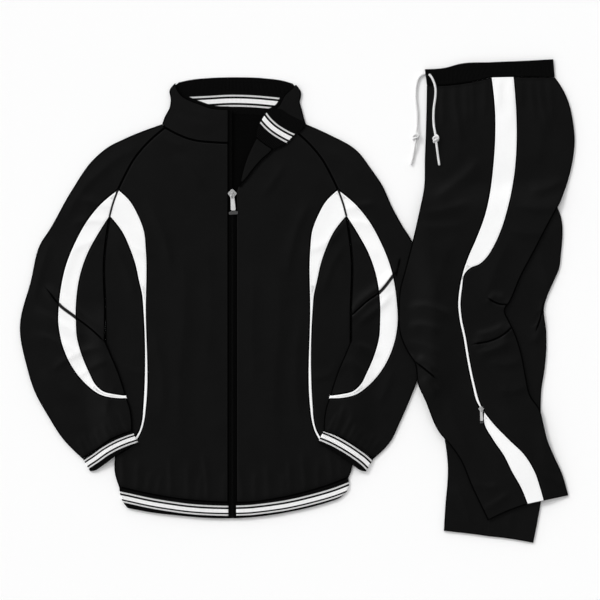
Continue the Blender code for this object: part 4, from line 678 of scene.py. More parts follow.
class Piece:
    """One cut piece of cloth: flat sheets of an open surface, joined along creases."""

    def __init__(self):
        self.mesh = bmesh.new()
        for name in ("seam_along", "seam_across", "edge_away", "shade", "band_along",
                     "band_across", "band_away"):
            self.mesh.verts.layers.float.new(name)
        self.layers = self.mesh.verts.layers.float
        self.first_face_up = None
        self.rings = []
        self.curls = []

    def add_point(self, place, level, **marks):
        """A point of the cloth, with the marks that its material reads there."""
        point = self.mesh.verts.new((place[0], place[1], level))
        point[self.layers["seam_across"]] = NO_STITCH
        point[self.layers["edge_away"]] = NO_STITCH
        for name, value in marks.items():
            point[self.layers[name]] = value
        return point

    def add_sheet(self, stretches, height, faces_up=True, pitch=PITCH, above=None, creases=(),
                  ribs=(), painted_shade_seams=()):
        """Fill a ring of (line, inset, outer inset, sink) stretches at the given height.

        The cloth stays clear of the face above which it lies, and is painted in shade in its creases,
        beside the ribs that gather it and along its seams between white pieces. Gives back, for each stretch,
        its points of the mesh and the way out of the ring.
        """
        ring, inner, outer, sinks, spans = [], [], [], [], []
        for line, inset, outer_inset, sink in stretches:
            spans.append((len(ring), len(line)))
            ring.extend(line[:-1])
            inner.extend([inset] * (len(line) - 1))
            outer.extend([outer_inset] * (len(line) - 1))
            sinks.extend([sink] * (len(line) - 1))
        ring = np.array(ring)
        edge = inset_ring(ring, inner)
        closed = np.vstack([edge, edge[:1]])
        outwards = inset_ring(ring, outer) - edge
        reach = np.array(inner) - np.array(outer)
        reach = np.maximum(reach, np.roll(reach, 1)) * LONGEST_CORNER
        lengths = np.maximum(np.linalg.norm(outwards, axis=1), 1e-9)
        outwards *= np.minimum(1, reach / lengths)[:, None]
        count = len(edge)
        flat, along, across_it = self.lay_points(edge, closed, sinks, pitch, creases)
        order = list(range(count))
        area = np.sum(edge[:, 0] * np.roll(edge[:, 1], -1) - np.roll(edge[:, 0], -1) * edge[:, 1])
        if area < 0:
            order.reverse()
        made = delaunay_2d_cdt([tuple(place) for place in flat], [], [order], 1, 1e-7, True)
        corners, triangles, sources = made[0], made[2], made[3]
        plan = np.array([(corner[0], corner[1]) for corner in corners])
        levels = height(plan)
        edge_away = np.full(len(plan), NO_STITCH)
        if faces_up:
            depths, edge_away = drawn_down(plan, closed, sinks)
            levels = levels - depths
        if above is not None:
            levels = np.maximum(levels, above(plan) + 2 * WALL + LEAST_ROOM)
        # Painted shade in the creases, beside the ribs and along the seams between white pieces
        shades = np.maximum(shade_of(plan, creases), rib_shade(plan, ribs))
        shades = np.maximum(shades, seam_shade(plan, painted_shade_seams))
        points, found = [], {}
        for place, level, off, shade, source in zip(plan, levels, edge_away, shades, sources):
            points.append(self.add_point(place, level, edge_away=off, shade=shade))
            if source:
                points[-1][self.layers["seam_along"]] = along[source[0]]
                points[-1][self.layers["seam_across"]] = across_it[source[0]]
            for each in source:
                found[each] = points[-1]
        middles = np.array([plan[list(triangle)].mean(axis=0) for triangle in triangles])
        for triangle, within in zip(triangles, is_inside(middles, edge)):
            if within and thickness_of(plan[list(triangle)]) > SLIVER:
                face = self.mesh.faces.new([points[index] for index in triangle])
                if self.first_face_up is None:
                    self.first_face_up = (face, faces_up)
        self.rings.append(edge)
        edges = []
        for start, length in spans:
            indices = [(start + step) % count for step in range(length)]
            edges.append(([found[index] for index in indices], outwards[indices]))
        return edges

    def lay_points(self, edge, closed, sinks, pitch, creases):
        """Places over a sheet: its edge, rows beside the edge and the creases, and a lattice.

        Each comes with its place along the edge and its distance from a sewn one.
        """
        count = len(edge)
        run = np.concatenate([[0], np.cumsum(np.linalg.norm(np.diff(edge, axis=0), axis=1))])
        sewn = np.array([sink in (SEWN, SEWN_NARROW) for sink in sinks])
        from_seam = np.where(sewn & np.roll(sewn, 1), 0.0, NO_STITCH)
        flat, along, across_it, rooms = [edge], [run], [from_seam], [np.zeros(count)]
        for width in EDGE_ROWS:
            row = inset_ring(edge, [width] * count)
            good = is_inside(row, edge)
            good[good] = distance_to(row[good], closed) > 0.9 * width
            flat.append(row[good])
            along.append(run[good])
            across_it.append(from_seam[good] + width)
            rooms.append(np.full(good.sum(), ROW_ROOM))
        for line in creases:
            ways = np.gradient(line.points, axis=0)
            ways /= np.linalg.norm(ways, axis=1)[:, None]
            over = np.column_stack([-ways[:, 1], ways[:, 0]])
            row = np.vstack([line.points + over * away * MM for away in CREASE_ROWS])
            row = row[is_inside(row, edge)]
            if len(row):
                row = row[distance_to(row, closed) > ROW_ROOM]
            flat.append(row.reshape(-1, 2))
            rooms.append(np.full(len(row), ROW_ROOM))
        lattice = lattice_within(edge, pitch)
        flat.append(lattice.reshape(-1, 2))
        rooms.append(np.full(len(lattice), EDGE_CLEARANCE * pitch))
        flat, rooms = np.vstack(flat), np.concatenate(rooms)
        along, across_it = np.concatenate(along), np.concatenate(across_it)
        plain = len(flat) - len(along)
        along = np.concatenate([along, np.zeros(plain)])
        across_it = np.concatenate([across_it, np.full(plain, NO_STITCH)])
        rows = thin_out(flat, rooms)
        return flat[rows], along[rows], across_it[rows]

    def add_lip(self, upper, height):
        """Points straight below a sheet's edge, where its curl ends."""
        plan = np.array([point.co.xy for point in upper[0]])
        lip = [self.add_point(place, level) for place, level in zip(plan, height(plan))]
        return (lip, upper[1])

    def add_crease(self, upper, lower):
        """Curl from an edge of the upper sheet round to the edge or lip beneath it."""
        tops, outwards = upper
        bottoms = lower[0]
        rows = [tops]
        for facet in range(1, CREASE_FACETS):
            angle = math.pi * facet / CREASE_FACETS
            row = []
            for top, bottom, out in zip(tops, bottoms, outwards):
                place = top.co.lerp(bottom.co, (1 - math.cos(angle)) / 2)
                place.x += out[0] * math.sin(angle)
                place.y += out[1] * math.sin(angle)
                row.append(self.add_point(place, place.z))
            rows.append(row)
        rows.append(bottoms)
        for above, below in zip(rows[:-1], rows[1:]):
            for index in range(len(tops) - 1):
                self.curls.append(self.mesh.faces.new([above[index], above[index + 1],
                                                       below[index + 1], below[index]]))

    def mark_band(self, stripes, stripe_stops):
        """Give each point its place along a band, across it in the stripes' pattern, and
        how far it is from the edges that the stripes stop short of."""
        guide = soft_line(stripes.points)
        points = list(self.mesh.verts)
        places = np.array([point.co.xy for point in points])
        for point in points:
            point[self.layers["band_away"]] = FAR
        for line in stripe_stops:
            for point, off in zip(points, distance_to(places, line)):
                point[self.layers["band_away"]] = min(point[self.layers["band_away"]], off)
        away, share, side = beside(places, guide)
        length = np.sum(np.linalg.norm(np.diff(guide, axis=0), axis=1))
        upper, lower = stripes.upper * MM, stripes.lower * MM
        across_it = np.interp(away * side, [-FAR - lower, -lower, 0, upper, upper + FAR],
                              [-FAR - THIN_MIDDLE, -THIN_MIDDLE, 0, THIN_MIDDLE,
                               THIN_MIDDLE + FAR])
        for point, part, off in zip(points, share, across_it):
            point[self.layers["band_along"]] = part * length
            point[self.layers["band_across"]] = off

    def shaded_faces(self):
        """The faces that lie wholly beside an edge or in a crease, to be painted near-black as shade."""
        away, shade = self.layers["edge_away"], self.layers["shade"]
        return [face for face in self.mesh.faces
                if all(point[away] < EDGE_SHADE_REACH for point in face.verts)
                or all(point[shade] > CREASE_SHADED_FACE for point in face.verts)]

    def finish(self, node, place, material, slot, held="laid", wall=WALL, inside=None,
               stripes=None, stripe_stops=()):
        """Make the object that stands for a node, with its wall laid inwards."""
        unused = [point for point in self.mesh.verts if not point.link_faces]
        bmesh.ops.delete(self.mesh, geom=unused, context="VERTS")
        bmesh.ops.recalc_face_normals(self.mesh, faces=self.mesh.faces)
        face, faces_up = self.first_face_up
        face.normal_update()
        if (face.normal.z > 0) != faces_up:
            bmesh.ops.reverse_faces(self.mesh, faces=self.mesh.faces)
        if stripes is not None:
            self.mark_band(stripes, stripe_stops)
        # The inner faces take the near-black inner finish, painted as the shade inside the garment
        materials = [material, inside or inside_cloth_painted_shade]
        # Black cloth is painted near-black as shade on its curled edges, along its edges and in its creases
        if material == black_cloth:
            materials.append(shaded_cloth)
            for face in self.curls + self.shaded_faces():
                face.material_index = len(materials) - 1
        bmesh.ops.translate(self.mesh, verts=self.mesh.verts, vec=(*place, 0))
        piece = link_mesh(f"{node}_cloth", self.mesh, materials)
        solidify = piece.modifiers.new("wall", "SOLIDIFY")
        solidify.thickness = wall
        solidify.offset = -1
        solidify.material_offset = 1
        # The rims of black cloth take the near-black inner finish: painted shade along their edges
        solidify.material_offset_rim = int(material == black_cloth)
        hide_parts(node)
        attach(piece, BODY)


def thin_out(places, rooms):
    """Which places to keep, so that each has its room from the ones before it."""
    cell = rooms.max() + SLIVER
    cells, rows = {}, []
    for index, (place, room) in enumerate(zip(places, rooms)):
        column, row = int(place[0] // cell), int(place[1] // cell)
        near = [other for i in (-1, 0, 1) for j in (-1, 0, 1)
                for other in cells.get((column + i, row + j), ())]
        if all(math.dist(place, other) >= room for other in near):
            rows.append(index)
            cells.setdefault((column, row), []).append(place)
    return rows


def drawn_down(places, closed, sinks):
    """How deep the cloth is drawn down at its sewn and hemmed edges, and how far they are."""
    depths, nearest = np.zeros(len(places)), np.full(len(places), NO_STITCH)
    farthest = max(reach for depth, reach in SINKS)
    near = np.flatnonzero(distance_to(places, closed) < farthest)
    for look in SINKS:
        best = np.full(len(near), NO_STITCH)
        for index in [index for index, sink in enumerate(sinks) if sink == look]:
            best = np.minimum(best, distance_to(places[near], closed[index:index + 2]))
        depth, reach = look
        depths[near] = np.maximum(depths[near], depth * np.clip(1 - best / reach, 0, 1) ** 2)
        nearest[near] = np.minimum(nearest[near], best)
    return depths, nearest


def link_mesh(name, mesh, materials):
    """Make an object of a finished mesh, smooth but for its sharp edges."""
    data = bpy.data.meshes.new(name)
    mesh.to_mesh(data)
    mesh.free()
    data.shade_smooth()
    data.set_sharp_from_angle(angle=math.radians(SHARP_ANGLE))
    for material in materials:
        data.materials.append(material)
    piece = bpy.data.objects.new(name, data)
    bpy.context.scene.collection.objects.link(piece)
    return piece


# Stretches of a piece's outline: a line, its insets, and how the cloth is drawn down there
def seam(line, sink=SEWN):
    """A stretch sewn to its neighbour."""
    return (line, SEAM, SEAM, sink)


def narrow(line):
    """A stretch of a narrow piece, sewn to its neighbour."""
    return seam(line, SEWN_NARROW)


def under(line):
    """A seam of a lower sheet, which meets its neighbour so that no floor shows through."""
    return (line, 0.0, 0.0, SEWN)


def flush(line):
    """A seam pressed so flat that it doesn't show."""
    return (line, 0.0, 0.0, CURLED)


def free(line):
    """A stretch that ends at an open edge."""
    return (line, 0.0, 0.0, HEMMED)


def crease(line, gap=0.0, width=CREASE_WIDTH):
    """A stretch that curls down at the garment's edge."""
    return (line, gap + width, gap, CURLED)


def tucked(line, gap=0.0, width=CREASE_WIDTH):
    """A stretch of a lower sheet, just inside the curled edge of the sheet above."""
    inset = gap + width + TUCK
    return (line, inset, inset, CURLED)


def back(line):
    """The same line, run the other way."""
    return line[::-1]


def chain(*edges):
    """Edges of a sheet that run on from each other, as one; a later edge has the corner."""
    points, outwards = list(edges[0][0]), list(edges[0][1])
    for later, ways in edges[1:]:
        points[-1:] = later
        outwards[-1:] = ways
    return (points, outwards)


def turned_back(edge):
    """An edge of a sheet, run the other way."""
    return (edge[0][::-1], edge[1][::-1])


def floor(places):
    """The outer face of cloth that lies on the ground."""
    return np.zeros(len(places))


SIDES = {"right": -1, "left": 1}


def lay_lines(step):
    """The lines of both of the jacket's sides, across it, and of the trousers, in metres."""
    sides = {}
    for side, hand in SIDES.items():
        table = {**JACKET_LINES, **(RIGHT_LINES if side == "right" else LEFT_LINES)}
        sides[side] = {key: soft_line([(hand * out, up) for out, up in points], step)
                       for key, points in table.items()}
    over = {key: soft_line(points, step) for key, points in ACROSS_LINES.items()}
    down = {key: soft_line([(out, -below) for out, below in points], step)
            for key, points in TROUSER_LINES.items()}
    return sides, over, down


# The pieces' outlines, and the same lines in longer steps for the cloth's heights
lines, across, leg = lay_lines(LINE_STEP)
right, left = lines["right"], lines["left"]
side_edges, across_edges, leg_edges = lay_lines(HEIGHT_STEP)

sleeve_ring = {}
for side in SIDES:
    own = side_edges[side]
    sleeve_ring[side] = join_lines(
        own["overarm"], own["cuff_outer_edge"], own["cuff_bottom"], back(own["cuff_inner_edge"]),
        back(own["sleeve_inner_lower"]), back(own["sleeve_inner_tail"]),
        back(own["sleeve_inner_upper"]), back(own["side_upper"]), back(own["armhole"]),
        back(own["raglan"]), back(own["sleeve_neck"]))
body_ring = join_lines(*(
    [side_edges["right"][key] for key in ("side_upper", "side_middle", "side_piping",
                                          "side_lower")]
    + [across_edges["hem_back"]]
    + [back(side_edges["left"][key]) for key in ("side_lower", "side_piping", "side_middle",
                                                 "side_upper")]
    + [np.array([side_edges[side]["side_upper"][0] for side in ("left", "right")])]))
lower_leg_ring = join_lines(
    leg_edges["crotch_front"], leg_edges["crotch_rear"], leg_edges["lower_back"],
    back(leg_edges["lower_hem_rear"]), back(leg_edges["lower_hem_front"]),
    back(leg_edges["lower_front"]))
upper_leg_ring = join_lines(
    leg_edges["crotch_front_left"], leg_edges["crotch_rear_left"], leg_edges["back_leg"],
    back(leg_edges["left_hem_rear"]), back(leg_edges["left_hem_gusset"]),
    back(leg_edges["left_hem_front"]), back(leg_edges["front_leg"]))
turned_ring = join_lines(
    across_edges["turned_top"], across_edges["turned_end"], across_edges["facing_free"],
    across_edges["facing_roll"], back(across_edges["collar_roll"]))
left_sleeve_from_trousers = (sleeve_ring["left"] + np.array(JACKET_PLACE)
                             - np.array(TROUSERS_PLACE))
FRONT_SLIDER_AT = soft_line(FRONT_SLIDER_LINE)
ANKLE_SLIDER_AT = soft_line(ANKLE_SLIDER_LINE)
cord_lines = {
    "drawcord_on_front": soft_line([(out, -below) for out, below in CORD_ON_FRONT], CORD_STEP),
    "drawcord_on_floor": soft_line([(out, -below) for out, below in CORD_ON_FLOOR], CORD_STEP),
}


# Folds
def gathers_along(line, look, towards):
    """Short folds that start at a seam, uneven in place, length and height."""
    rows = []
    run = np.concatenate([[0], np.cumsum(np.linalg.norm(np.diff(line, axis=0), axis=1))]) / MM
    count = int(run[-1] / look["step"])
    way = np.array(towards, float)
    for number in range(count):
        uneven = noise.noise(Vector((number * 1.7, line[0][0] * 9, 0.5)))
        second = noise.noise(Vector((number * 2.3, 7.1, line[0][1] * 9)))
        at = (number + 0.5 + 0.55 * uneven) * run[-1] / count
        start = np.array([np.interp(at, run, line[:, 0]), np.interp(at, run, line[:, 1])]) / MM
        lean = np.array([-way[1], way[0]]) * 0.35 * second
        length = look["length"] * (1 + 0.9 * second)
        places = [start - way * GATHER_START * length,
                  start + (way + 0.5 * lean) * 0.5 * length, start + (way + lean) * length]
        rows.append(Fold([tuple(place) for place in places],
                         look["width"] * (1 + 0.5 * uneven),
                         look["height"] * (1 + 0.7 * second)))
    return lay_folds(rows)


def lay_creases(rows, up=1):
    """The creases of a table, with their lines and swells in metres."""
    return [Crease(soft_line([(x, up * y) for x, y in row.points], CREASE_STEP), row.swell * MM)
            for row in rows]


def crease_height(places, creases):
    """How the cloth swells on both sides of each crease, and is nipped in it."""
    total = np.zeros(len(places))
    for line in creases:
        away, share, side = beside(places, line.points)
        ends = soft_step(share / CREASE_ENDS) * soft_step((1 - share) / CREASE_ENDS)
        steep = CREASE_SHARPNESS * np.where(side > 0, 1, CREASE_LEAN)
        total += (line.swell * ends * (1 - np.exp(-away / steep))
                  * np.exp(-(away / CREASE_SWELL_REACH) ** 2))
    return total


def shade_of(places, creases):
    """How far each place lies in the dark of a crease, from 0 to 1."""
    darkest = np.zeros(len(places))
    for line in creases:
        away, share, side = beside(places, line.points)
        ends = soft_step(share / CREASE_ENDS) * soft_step((1 - share) / CREASE_ENDS)
        darkest = np.maximum(darkest, CREASE_SHADE * ends
                             * np.exp(-(away / CREASE_SHADE_REACH) ** 2))
    return np.minimum(darkest, 1)


def rib_shade(places, seams):
    """The shade beside the seams of the ribs, where the cloth is drawn in."""
    darkest = np.zeros(len(places))
    for line in seams:
        away = distance_to(places, line)
        darkest = np.maximum(darkest, RIB_SHADE * np.exp(-(away / RIB_SHADE_REACH) ** 2))
    return darkest


def seam_shade(places, seams):
    """The shade in the groove between two white pieces."""
    darkest = np.zeros(len(places))
    for line in seams:
        away = distance_to(places, line)
        darkest = np.maximum(darkest, np.clip((WHITE_SEAM_SHADE_REACH - away)
                                              / (WHITE_SEAM_SHADE_REACH - WHITE_SEAM_FULL_SHADE), 0, 1))
    return darkest


def unevenness(places, offset):
    """Laid cloth is never quite flat."""
    total = np.zeros(len(places))
    for index, (x, y) in enumerate(places):
        for length, height in UNEVENNESS:
            total[index] += height * noise.noise(Vector((x / length, y / length, offset)))
    return total


def calm_near(places, edges, reach):
    """0 on the given lines, 1 beyond reach of them."""
    nearest = np.min([distance_to(places, edge) for edge in edges], axis=0)
    return soft_step(nearest / reach)


def relief(places, folds, creases, offset):
    """Folds, creases and unevenness together, the highest ones softly held down."""
    total = (fold_height(places, folds) + crease_height(places, creases)
             + unevenness(places, offset))
    return HIGHEST_FOLD * np.tanh(total / HIGHEST_FOLD)


jacket_folds = (lay_folds(SLEEVE_FOLDS + SMALL_SLEEVE_FOLDS + BODY_FOLDS)
                + gathers_along(across["hem_right"], HEM_GATHERS, (0.03, 1))
                + gathers_along(across["hem_left"], HEM_GATHERS, (-0.03, 1))
                + gathers_along(right["cuff_seam"], CUFF_GATHERS, (-0.45, 0.89))
                + gathers_along(left["cuff_seam"], CUFF_GATHERS, (0.45, 0.89)))
left_leg_folds = (lay_folds(LEFT_LEG_FOLDS + SMALL_LEFT_LEG_FOLDS, -1)
                  + gathers_along(leg["waist_seam_front"], WAIST_GATHERS, (0.0, -1))
                  + gathers_along(leg["waist_seam_stripe"], WAIST_GATHERS, (0.0, -1))
                  + gathers_along(leg["waist_seam_rear"], WAIST_GATHERS, (0.05, -1)))
right_leg_folds = lay_folds(RIGHT_LEG_FOLDS + SMALL_RIGHT_LEG_FOLDS, -1)
sleeve_creases = lay_creases(SLEEVE_CREASES)
left_leg_creases = lay_creases(LEFT_LEG_CREASES, -1)
right_leg_creases = lay_creases(RIGHT_LEG_CREASES, -1)


# Heights of the jacket
def crown(places, edges):
    """How far the upper cloth rises inwards from the creased edges."""
    nearest = np.min([distance_to(places, edge) for edge in edges], axis=0)
    return CROWN * soft_step(nearest / CROWN_REACH)


def neck_lift(places):
    """The collar's stiffness holds the cloth up round the neck."""
    away = np.linalg.norm(places - np.array(NECK_CENTRE), axis=1)
    return NECK_RISE * soft_step(1 - away / NECK_REACH)


def body_level(places):
    """The front's outer face without its folds, as the part's source has it."""
    edges = [side_edges[side][key] for side in SIDES
             for key in ("overarm", "side_upper", "side_middle", "side_lower")]
    return EDGE_RISE + crown(places, edges) + neck_lift(places)


def sleeve_climb(places):
    """0 at the upper sleeve, 1 where the lower sleeve lies on the front."""
    return soft_step((SLEEVE_LIFT_TOP - places[:, 1]) / (SLEEVE_LIFT_TOP - SLEEVE_LIFT_FULL))


def body_top(places):
    """The outer face of the jacket's front, calm under whatever lies on it."""
    folds = relief(places, jacket_folds, (), 0.3)
    for side in SIDES:
        clear = soft_step(distance_outside(places, sleeve_ring[side]) / SMALL_PART_CALM)
        folds *= 1 - (1 - clear) * sleeve_climb(places)
    folds *= soft_step(distance_outside(places, turned_ring) / SMALL_PART_CALM)
    folds *= calm_near(places, [FRONT_SLIDER_AT], 2 * SMALL_PART_CALM)
    return body_level(places) + folds


def sleeve_base(places):
    """The outer face of the sleeve's underside: on the floor, or up on the front."""
    over = soft_step(1 - distance_outside(places, body_ring) / SLEEVE_LIFT_REACH)
    return SLEEVE_LIFT * over * sleeve_climb(places)


def sleeve_top(places):
    """The outer face of the sleeve's upper side, pressed flat under the trousers."""
    edges = [side_edges[side][key] for side in SIDES
             for key in ("overarm", "side_upper", "sleeve_inner_upper", "sleeve_inner_lower")]
    pressed = soft_step((places[:, 0] - FLAT_SLEEVE_FROM) / FLAT_SLEEVE_REACH)
    rise = crown(places, edges) + relief(places, jacket_folds, sleeve_creases, 0.3)
    return EDGE_RISE + rise * (1 - pressed) + neck_lift(places) + sleeve_base(places)


def turned_top_face(places):
    """The turned-out front, one wall above the front that it lies on."""
    return body_level(places) + LAYER_GAP + WALL


def turned_collar_face(places):
    """The turned-out end of the collar, on the collar and the front."""
    return body_level(places) + LAYER_GAP + COLLAR_WALL


# Heights of the trousers
def trouser_base(places):
    """The floor, or the jacket's left sleeve where the trousers lie over it."""
    away = distance_outside(places, left_sleeve_from_trousers)
    return OVER_SLEEVE * soft_step(1 - (away - OVER_SLEEVE_MARGIN) / OVER_SLEEVE_REACH)


def leg_share(places):
    """0 at the crotch, 1 where the two legs are full tubes."""
    return soft_step((-places[:, 1] - LEG_START) / (LEG_FULL - LEG_START))


def over_lower_leg(places):
    """1 over the right leg, falling away to 0 outside it."""
    return soft_step(1 - distance_outside(places, lower_leg_ring) / OVER_LEG_REACH)


def lower_leg_rise(places):
    """The height of the right leg, upper face over lower."""
    return LOWER_LEG_START + (LOWER_LEG_RISE - LOWER_LEG_START) * leg_share(places)


def lower_leg_top(places):
    """The outer face of the right leg's upper side, calm under the left leg."""
    clear = soft_step(distance_outside(places, upper_leg_ring) / SMALL_PART_CALM)
    return (trouser_base(places) + lower_leg_rise(places)
            + relief(places, right_leg_folds, right_leg_creases, 4.1) * clear)


def left_leg_base(places):
    """The outer face of the left leg's underside."""
    rise = lower_leg_rise(places) + LEG_GAP
    return trouser_base(places) + rise * over_lower_leg(places)


def trouser_level(places):
    """The trousers' upper face without its folds, as the part's source has it."""
    hip = soft_step((-places[:, 1] - HIP_START) / (LEG_START - HIP_START))
    on_floor = trouser_base(places) + EDGE_RISE
    on_leg = left_leg_base(places) + EDGE_RISE
    edges = [leg_edges[key] for key in ("front_hip", "front_leg", "back_hip", "back_leg")]
    return on_floor * (1 - hip) + on_leg * hip + crown(places, edges)


def trouser_top(places):
    """The outer face of the trousers' upper side, calm under the cord and the slider."""
    calm = calm_near(places, [cord_lines["drawcord_on_front"], ANKLE_SLIDER_AT],
                     SMALL_PART_CALM)
    folds = relief(places, left_leg_folds, left_leg_creases, 2.2)
    return trouser_level(places) + folds * calm


def trouser_under(places):
    """What the trousers' upper side lies above: the floor side, or the left leg's underside."""
    hip = soft_step((-places[:, 1] - HIP_START) / (LEG_START - HIP_START))
    return trouser_base(places) * (1 - hip) + left_leg_base(places) * hip


# Materials
def add_node(tree, kind, settings=None, **inputs):
    """A shader node with its settings, and its inputs set or linked by name."""
    node = tree.nodes.new(kind)
    for key, value in (settings or {}).items():
        setattr(node, key, value)
    for key, value in inputs.items():
        socket = node.inputs[int(key[1:])] if key[0] == "_" else node.inputs[key.replace("_", " ")]
        if isinstance(value, bpy.types.NodeSocket):
            tree.links.new(value, socket)
        else:
            socket.default_value = value
    return node


def maths(tree, operation, *values):
    """One step of arithmetic."""
    inputs = {f"_{index}": value for index, value in enumerate(values)}
    return add_node(tree, "ShaderNodeMath", {"operation": operation}, **inputs).outputs[0]


def ramp(tree, value, low, high, out_low=0.0, out_high=1.0):
    """A value carried from one range to another, smoothly."""
    return add_node(tree, "ShaderNodeMapRange", {"interpolation_type": "SMOOTHSTEP"},
                    _0=value, _1=low, _2=high, _3=out_low, _4=out_high).outputs[0]


def attribute(tree, name):
    """A number that the mesh carries at each point."""
    return add_node(tree, "ShaderNodeAttribute", {"attribute_name": name}).outputs["Fac"]


def mix_colours(tree, share, first, second):
    """One colour at 0 and the other at 1."""
    node = add_node(tree, "ShaderNodeMix", {"data_type": "RGBA"}, _0=share, _6=first, _7=second)
    return node.outputs[2]


def grey(level):
    """A grey, as linear colour."""
    return (level, level, level, 1.0)


def start_material(name, roughness, sheen=0.0, specular=0.5, metallic=0.0):
    """A new material with its shader's fixed numbers set."""
    material = bpy.data.materials.new(name)
    material.use_nodes = True
    shader = material.node_tree.nodes["Principled BSDF"]
    shader.inputs["Roughness"].default_value = roughness
    shader.inputs["Sheen Weight"].default_value = sheen
    shader.inputs["Sheen Roughness"].default_value = 0.45
    shader.inputs["Specular IOR Level"].default_value = specular
    shader.inputs["Metallic"].default_value = metallic
    return material, material.node_tree, shader


def bump(tree, shader, layers):
    """Relief from (height, distance) layers, one on the other."""
    normal = None
    for height, distance in layers:
        node = add_node(tree, "ShaderNodeBump", None, Distance=distance, Height=height)
        if normal is not None:
            tree.links.new(normal, node.inputs["Normal"])
        normal = node.outputs["Normal"]
    tree.links.new(normal, shader.inputs["Normal"])


def noise_texture(tree, scale, detail=2.0, rough=0.5):
    """Noise over the set."""
    where = add_node(tree, "ShaderNodeTexCoord").outputs["Object"]
    return add_node(tree, "ShaderNodeTexNoise", None, Vector=where, Scale=scale, Detail=detail,
                    Roughness=rough).outputs["Fac"]


def weave_height(tree, period):
    """Crossed threads of a period in metres."""
    where = add_node(tree, "ShaderNodeTexCoord").outputs["Object"]
    parts = add_node(tree, "ShaderNodeSeparateXYZ", None, _0=where)
    turn = 2 * math.pi / period
    along = maths(tree, "SINE", maths(tree, "MULTIPLY", parts.outputs[0], turn))
    over = maths(tree, "SINE", maths(tree, "MULTIPLY", parts.outputs[1], turn))
    return maths(tree, "MULTIPLY", along, over)


def stitch_mask(tree):
    """1 on the thread of the row of stitches beside each seam."""
    off = maths(tree, "SUBTRACT", attribute(tree, "seam_across"), STITCH_ROW)
    beside_row = ramp(tree, maths(tree, "ABSOLUTE", off), 0.25 * MM, 0.5 * MM, 1.0, 0.0)
    beat = maths(tree, "FRACT", maths(tree, "DIVIDE", attribute(tree, "seam_along"),
                                      STITCH_LENGTH))
    middle = maths(tree, "ABSOLUTE", maths(tree, "SUBTRACT", beat, 0.5))
    return maths(tree, "MULTIPLY", beside_row, ramp(tree, middle, 0.34, 0.42, 1.0, 0.0))


def make_cloth(name, colour, lighter, thread, shade_colour, full_shade, edge_shade_reach, roughness, sheen,
               specular):
    """Woven polyester with a row of stitches beside each seam, and painted shade in creases, beside ribs and
    seams, and along edges.
    """
    material, tree, shader = start_material(name, roughness, sheen, specular)
    cloudy = ramp(tree, noise_texture(tree, 14.0, 4.0), 0.3, 0.7)
    stitches = stitch_mask(tree)
    base = mix_colours(tree, cloudy, colour, lighter)
    base = mix_colours(tree, stitches, base, thread)
    # Painted shade: the colour turns to the shade colour where the mesh marks shade, and near the edges
    shade = ramp(tree, attribute(tree, "shade"), 0.0, full_shade)
    base = mix_colours(tree, shade, base, shade_colour)
    edge = ramp(tree, attribute(tree, "edge_away"), 0.3 * edge_shade_reach, edge_shade_reach, 1.0, 0.0)
    base = mix_colours(tree, edge, base, shade_colour)
    tree.links.new(base, shader.inputs["Base Color"])
    bump(tree, shader, [(noise_texture(tree, 95.0, 2.0, 0.55), 0.16 * MM),
                        (weave_height(tree, 1.1 * MM), 0.02 * MM),
                        (stitches, 0.3 * MM)])
    return material


def make_rib(name, black, white, pale, striped=True):
    """Rib knit, with a broad white stripe between two thin grey ones, and painted shade between its wales."""
    material, tree, shader = start_material(name, 0.85, 0.0, 0.06)
    along = attribute(tree, "band_along")
    off = maths(tree, "ABSOLUTE", attribute(tree, "band_across"))
    wale = maths(tree, "SINE", maths(tree, "MULTIPLY", along, 2 * math.pi / RIB_PERIOD))
    colour = black
    if striped:
        broad = ramp(tree, off, WHITE_HALF - STRIPE_SOFT, WHITE_HALF + STRIPE_SOFT, 1.0, 0.0)
        from_thin = maths(tree, "ABSOLUTE", maths(tree, "SUBTRACT", off, THIN_MIDDLE))
        thin = ramp(tree, from_thin, THIN_HALF - STRIPE_SOFT, THIN_HALF + STRIPE_SOFT, 1.0, 0.0)
        colour = mix_colours(tree, broad, black, white)
        colour = mix_colours(tree, thin, colour, pale)
        shown = ramp(tree, attribute(tree, "band_away"), STRIPE_END, STRIPE_END + 1.5 * MM)
        colour = mix_colours(tree, shown, black, colour)
    # Painted shade in the grooves between the wales
    groove_shade = ramp(tree, wale, -1.0, 0.2, 0.9, 1.0)
    tree.links.new(mix_colours(tree, groove_shade, black, colour), shader.inputs["Base Color"])
    bump(tree, shader, [(wale, 0.35 * MM), (noise_texture(tree, 900.0), 0.12 * MM)])
    return material


def make_plain(name, colour, roughness, specular=0.5, metallic=0.0, grain=600.0, depth=0.05):
    """A plain finish with a fine grain."""
    material, tree, shader = start_material(name, roughness, 0.0, specular, metallic)
    cloudy = ramp(tree, noise_texture(tree, 60.0, 3.0), 0.3, 0.7, 0.88, 1.0)
    tree.links.new(mix_colours(tree, cloudy, grey(0.0), colour), shader.inputs["Base Color"])
    bump(tree, shader, [(noise_texture(tree, grain), depth * MM)])
    return material


def make_cord():
    """Braid: two sets of strands wound opposite ways, with painted shade between them."""
    material, tree, shader = start_material("white_cord", 0.8, 0.1, 0.3)
    along = maths(tree, "MULTIPLY", attribute(tree, "cord_along"), 2 * math.pi / BRAID_PERIOD)
    round_it = maths(tree, "MULTIPLY", attribute(tree, "cord_round"), 2 * math.pi * 4)
    one = maths(tree, "SINE", maths(tree, "ADD", along, round_it))
    other = maths(tree, "SINE", maths(tree, "SUBTRACT", along, round_it))
    strands = maths(tree, "MAXIMUM", one, other)
    # Painted shade in the grooves between the strands
    groove_shade = ramp(tree, strands, -0.6, 0.7, 0.0, 1.0)
    tree.links.new(mix_colours(tree, groove_shade, grey(0.6), grey(0.96)), shader.inputs["Base Color"])
    bump(tree, shader, [(strands, 0.35 * MM)])
    return material
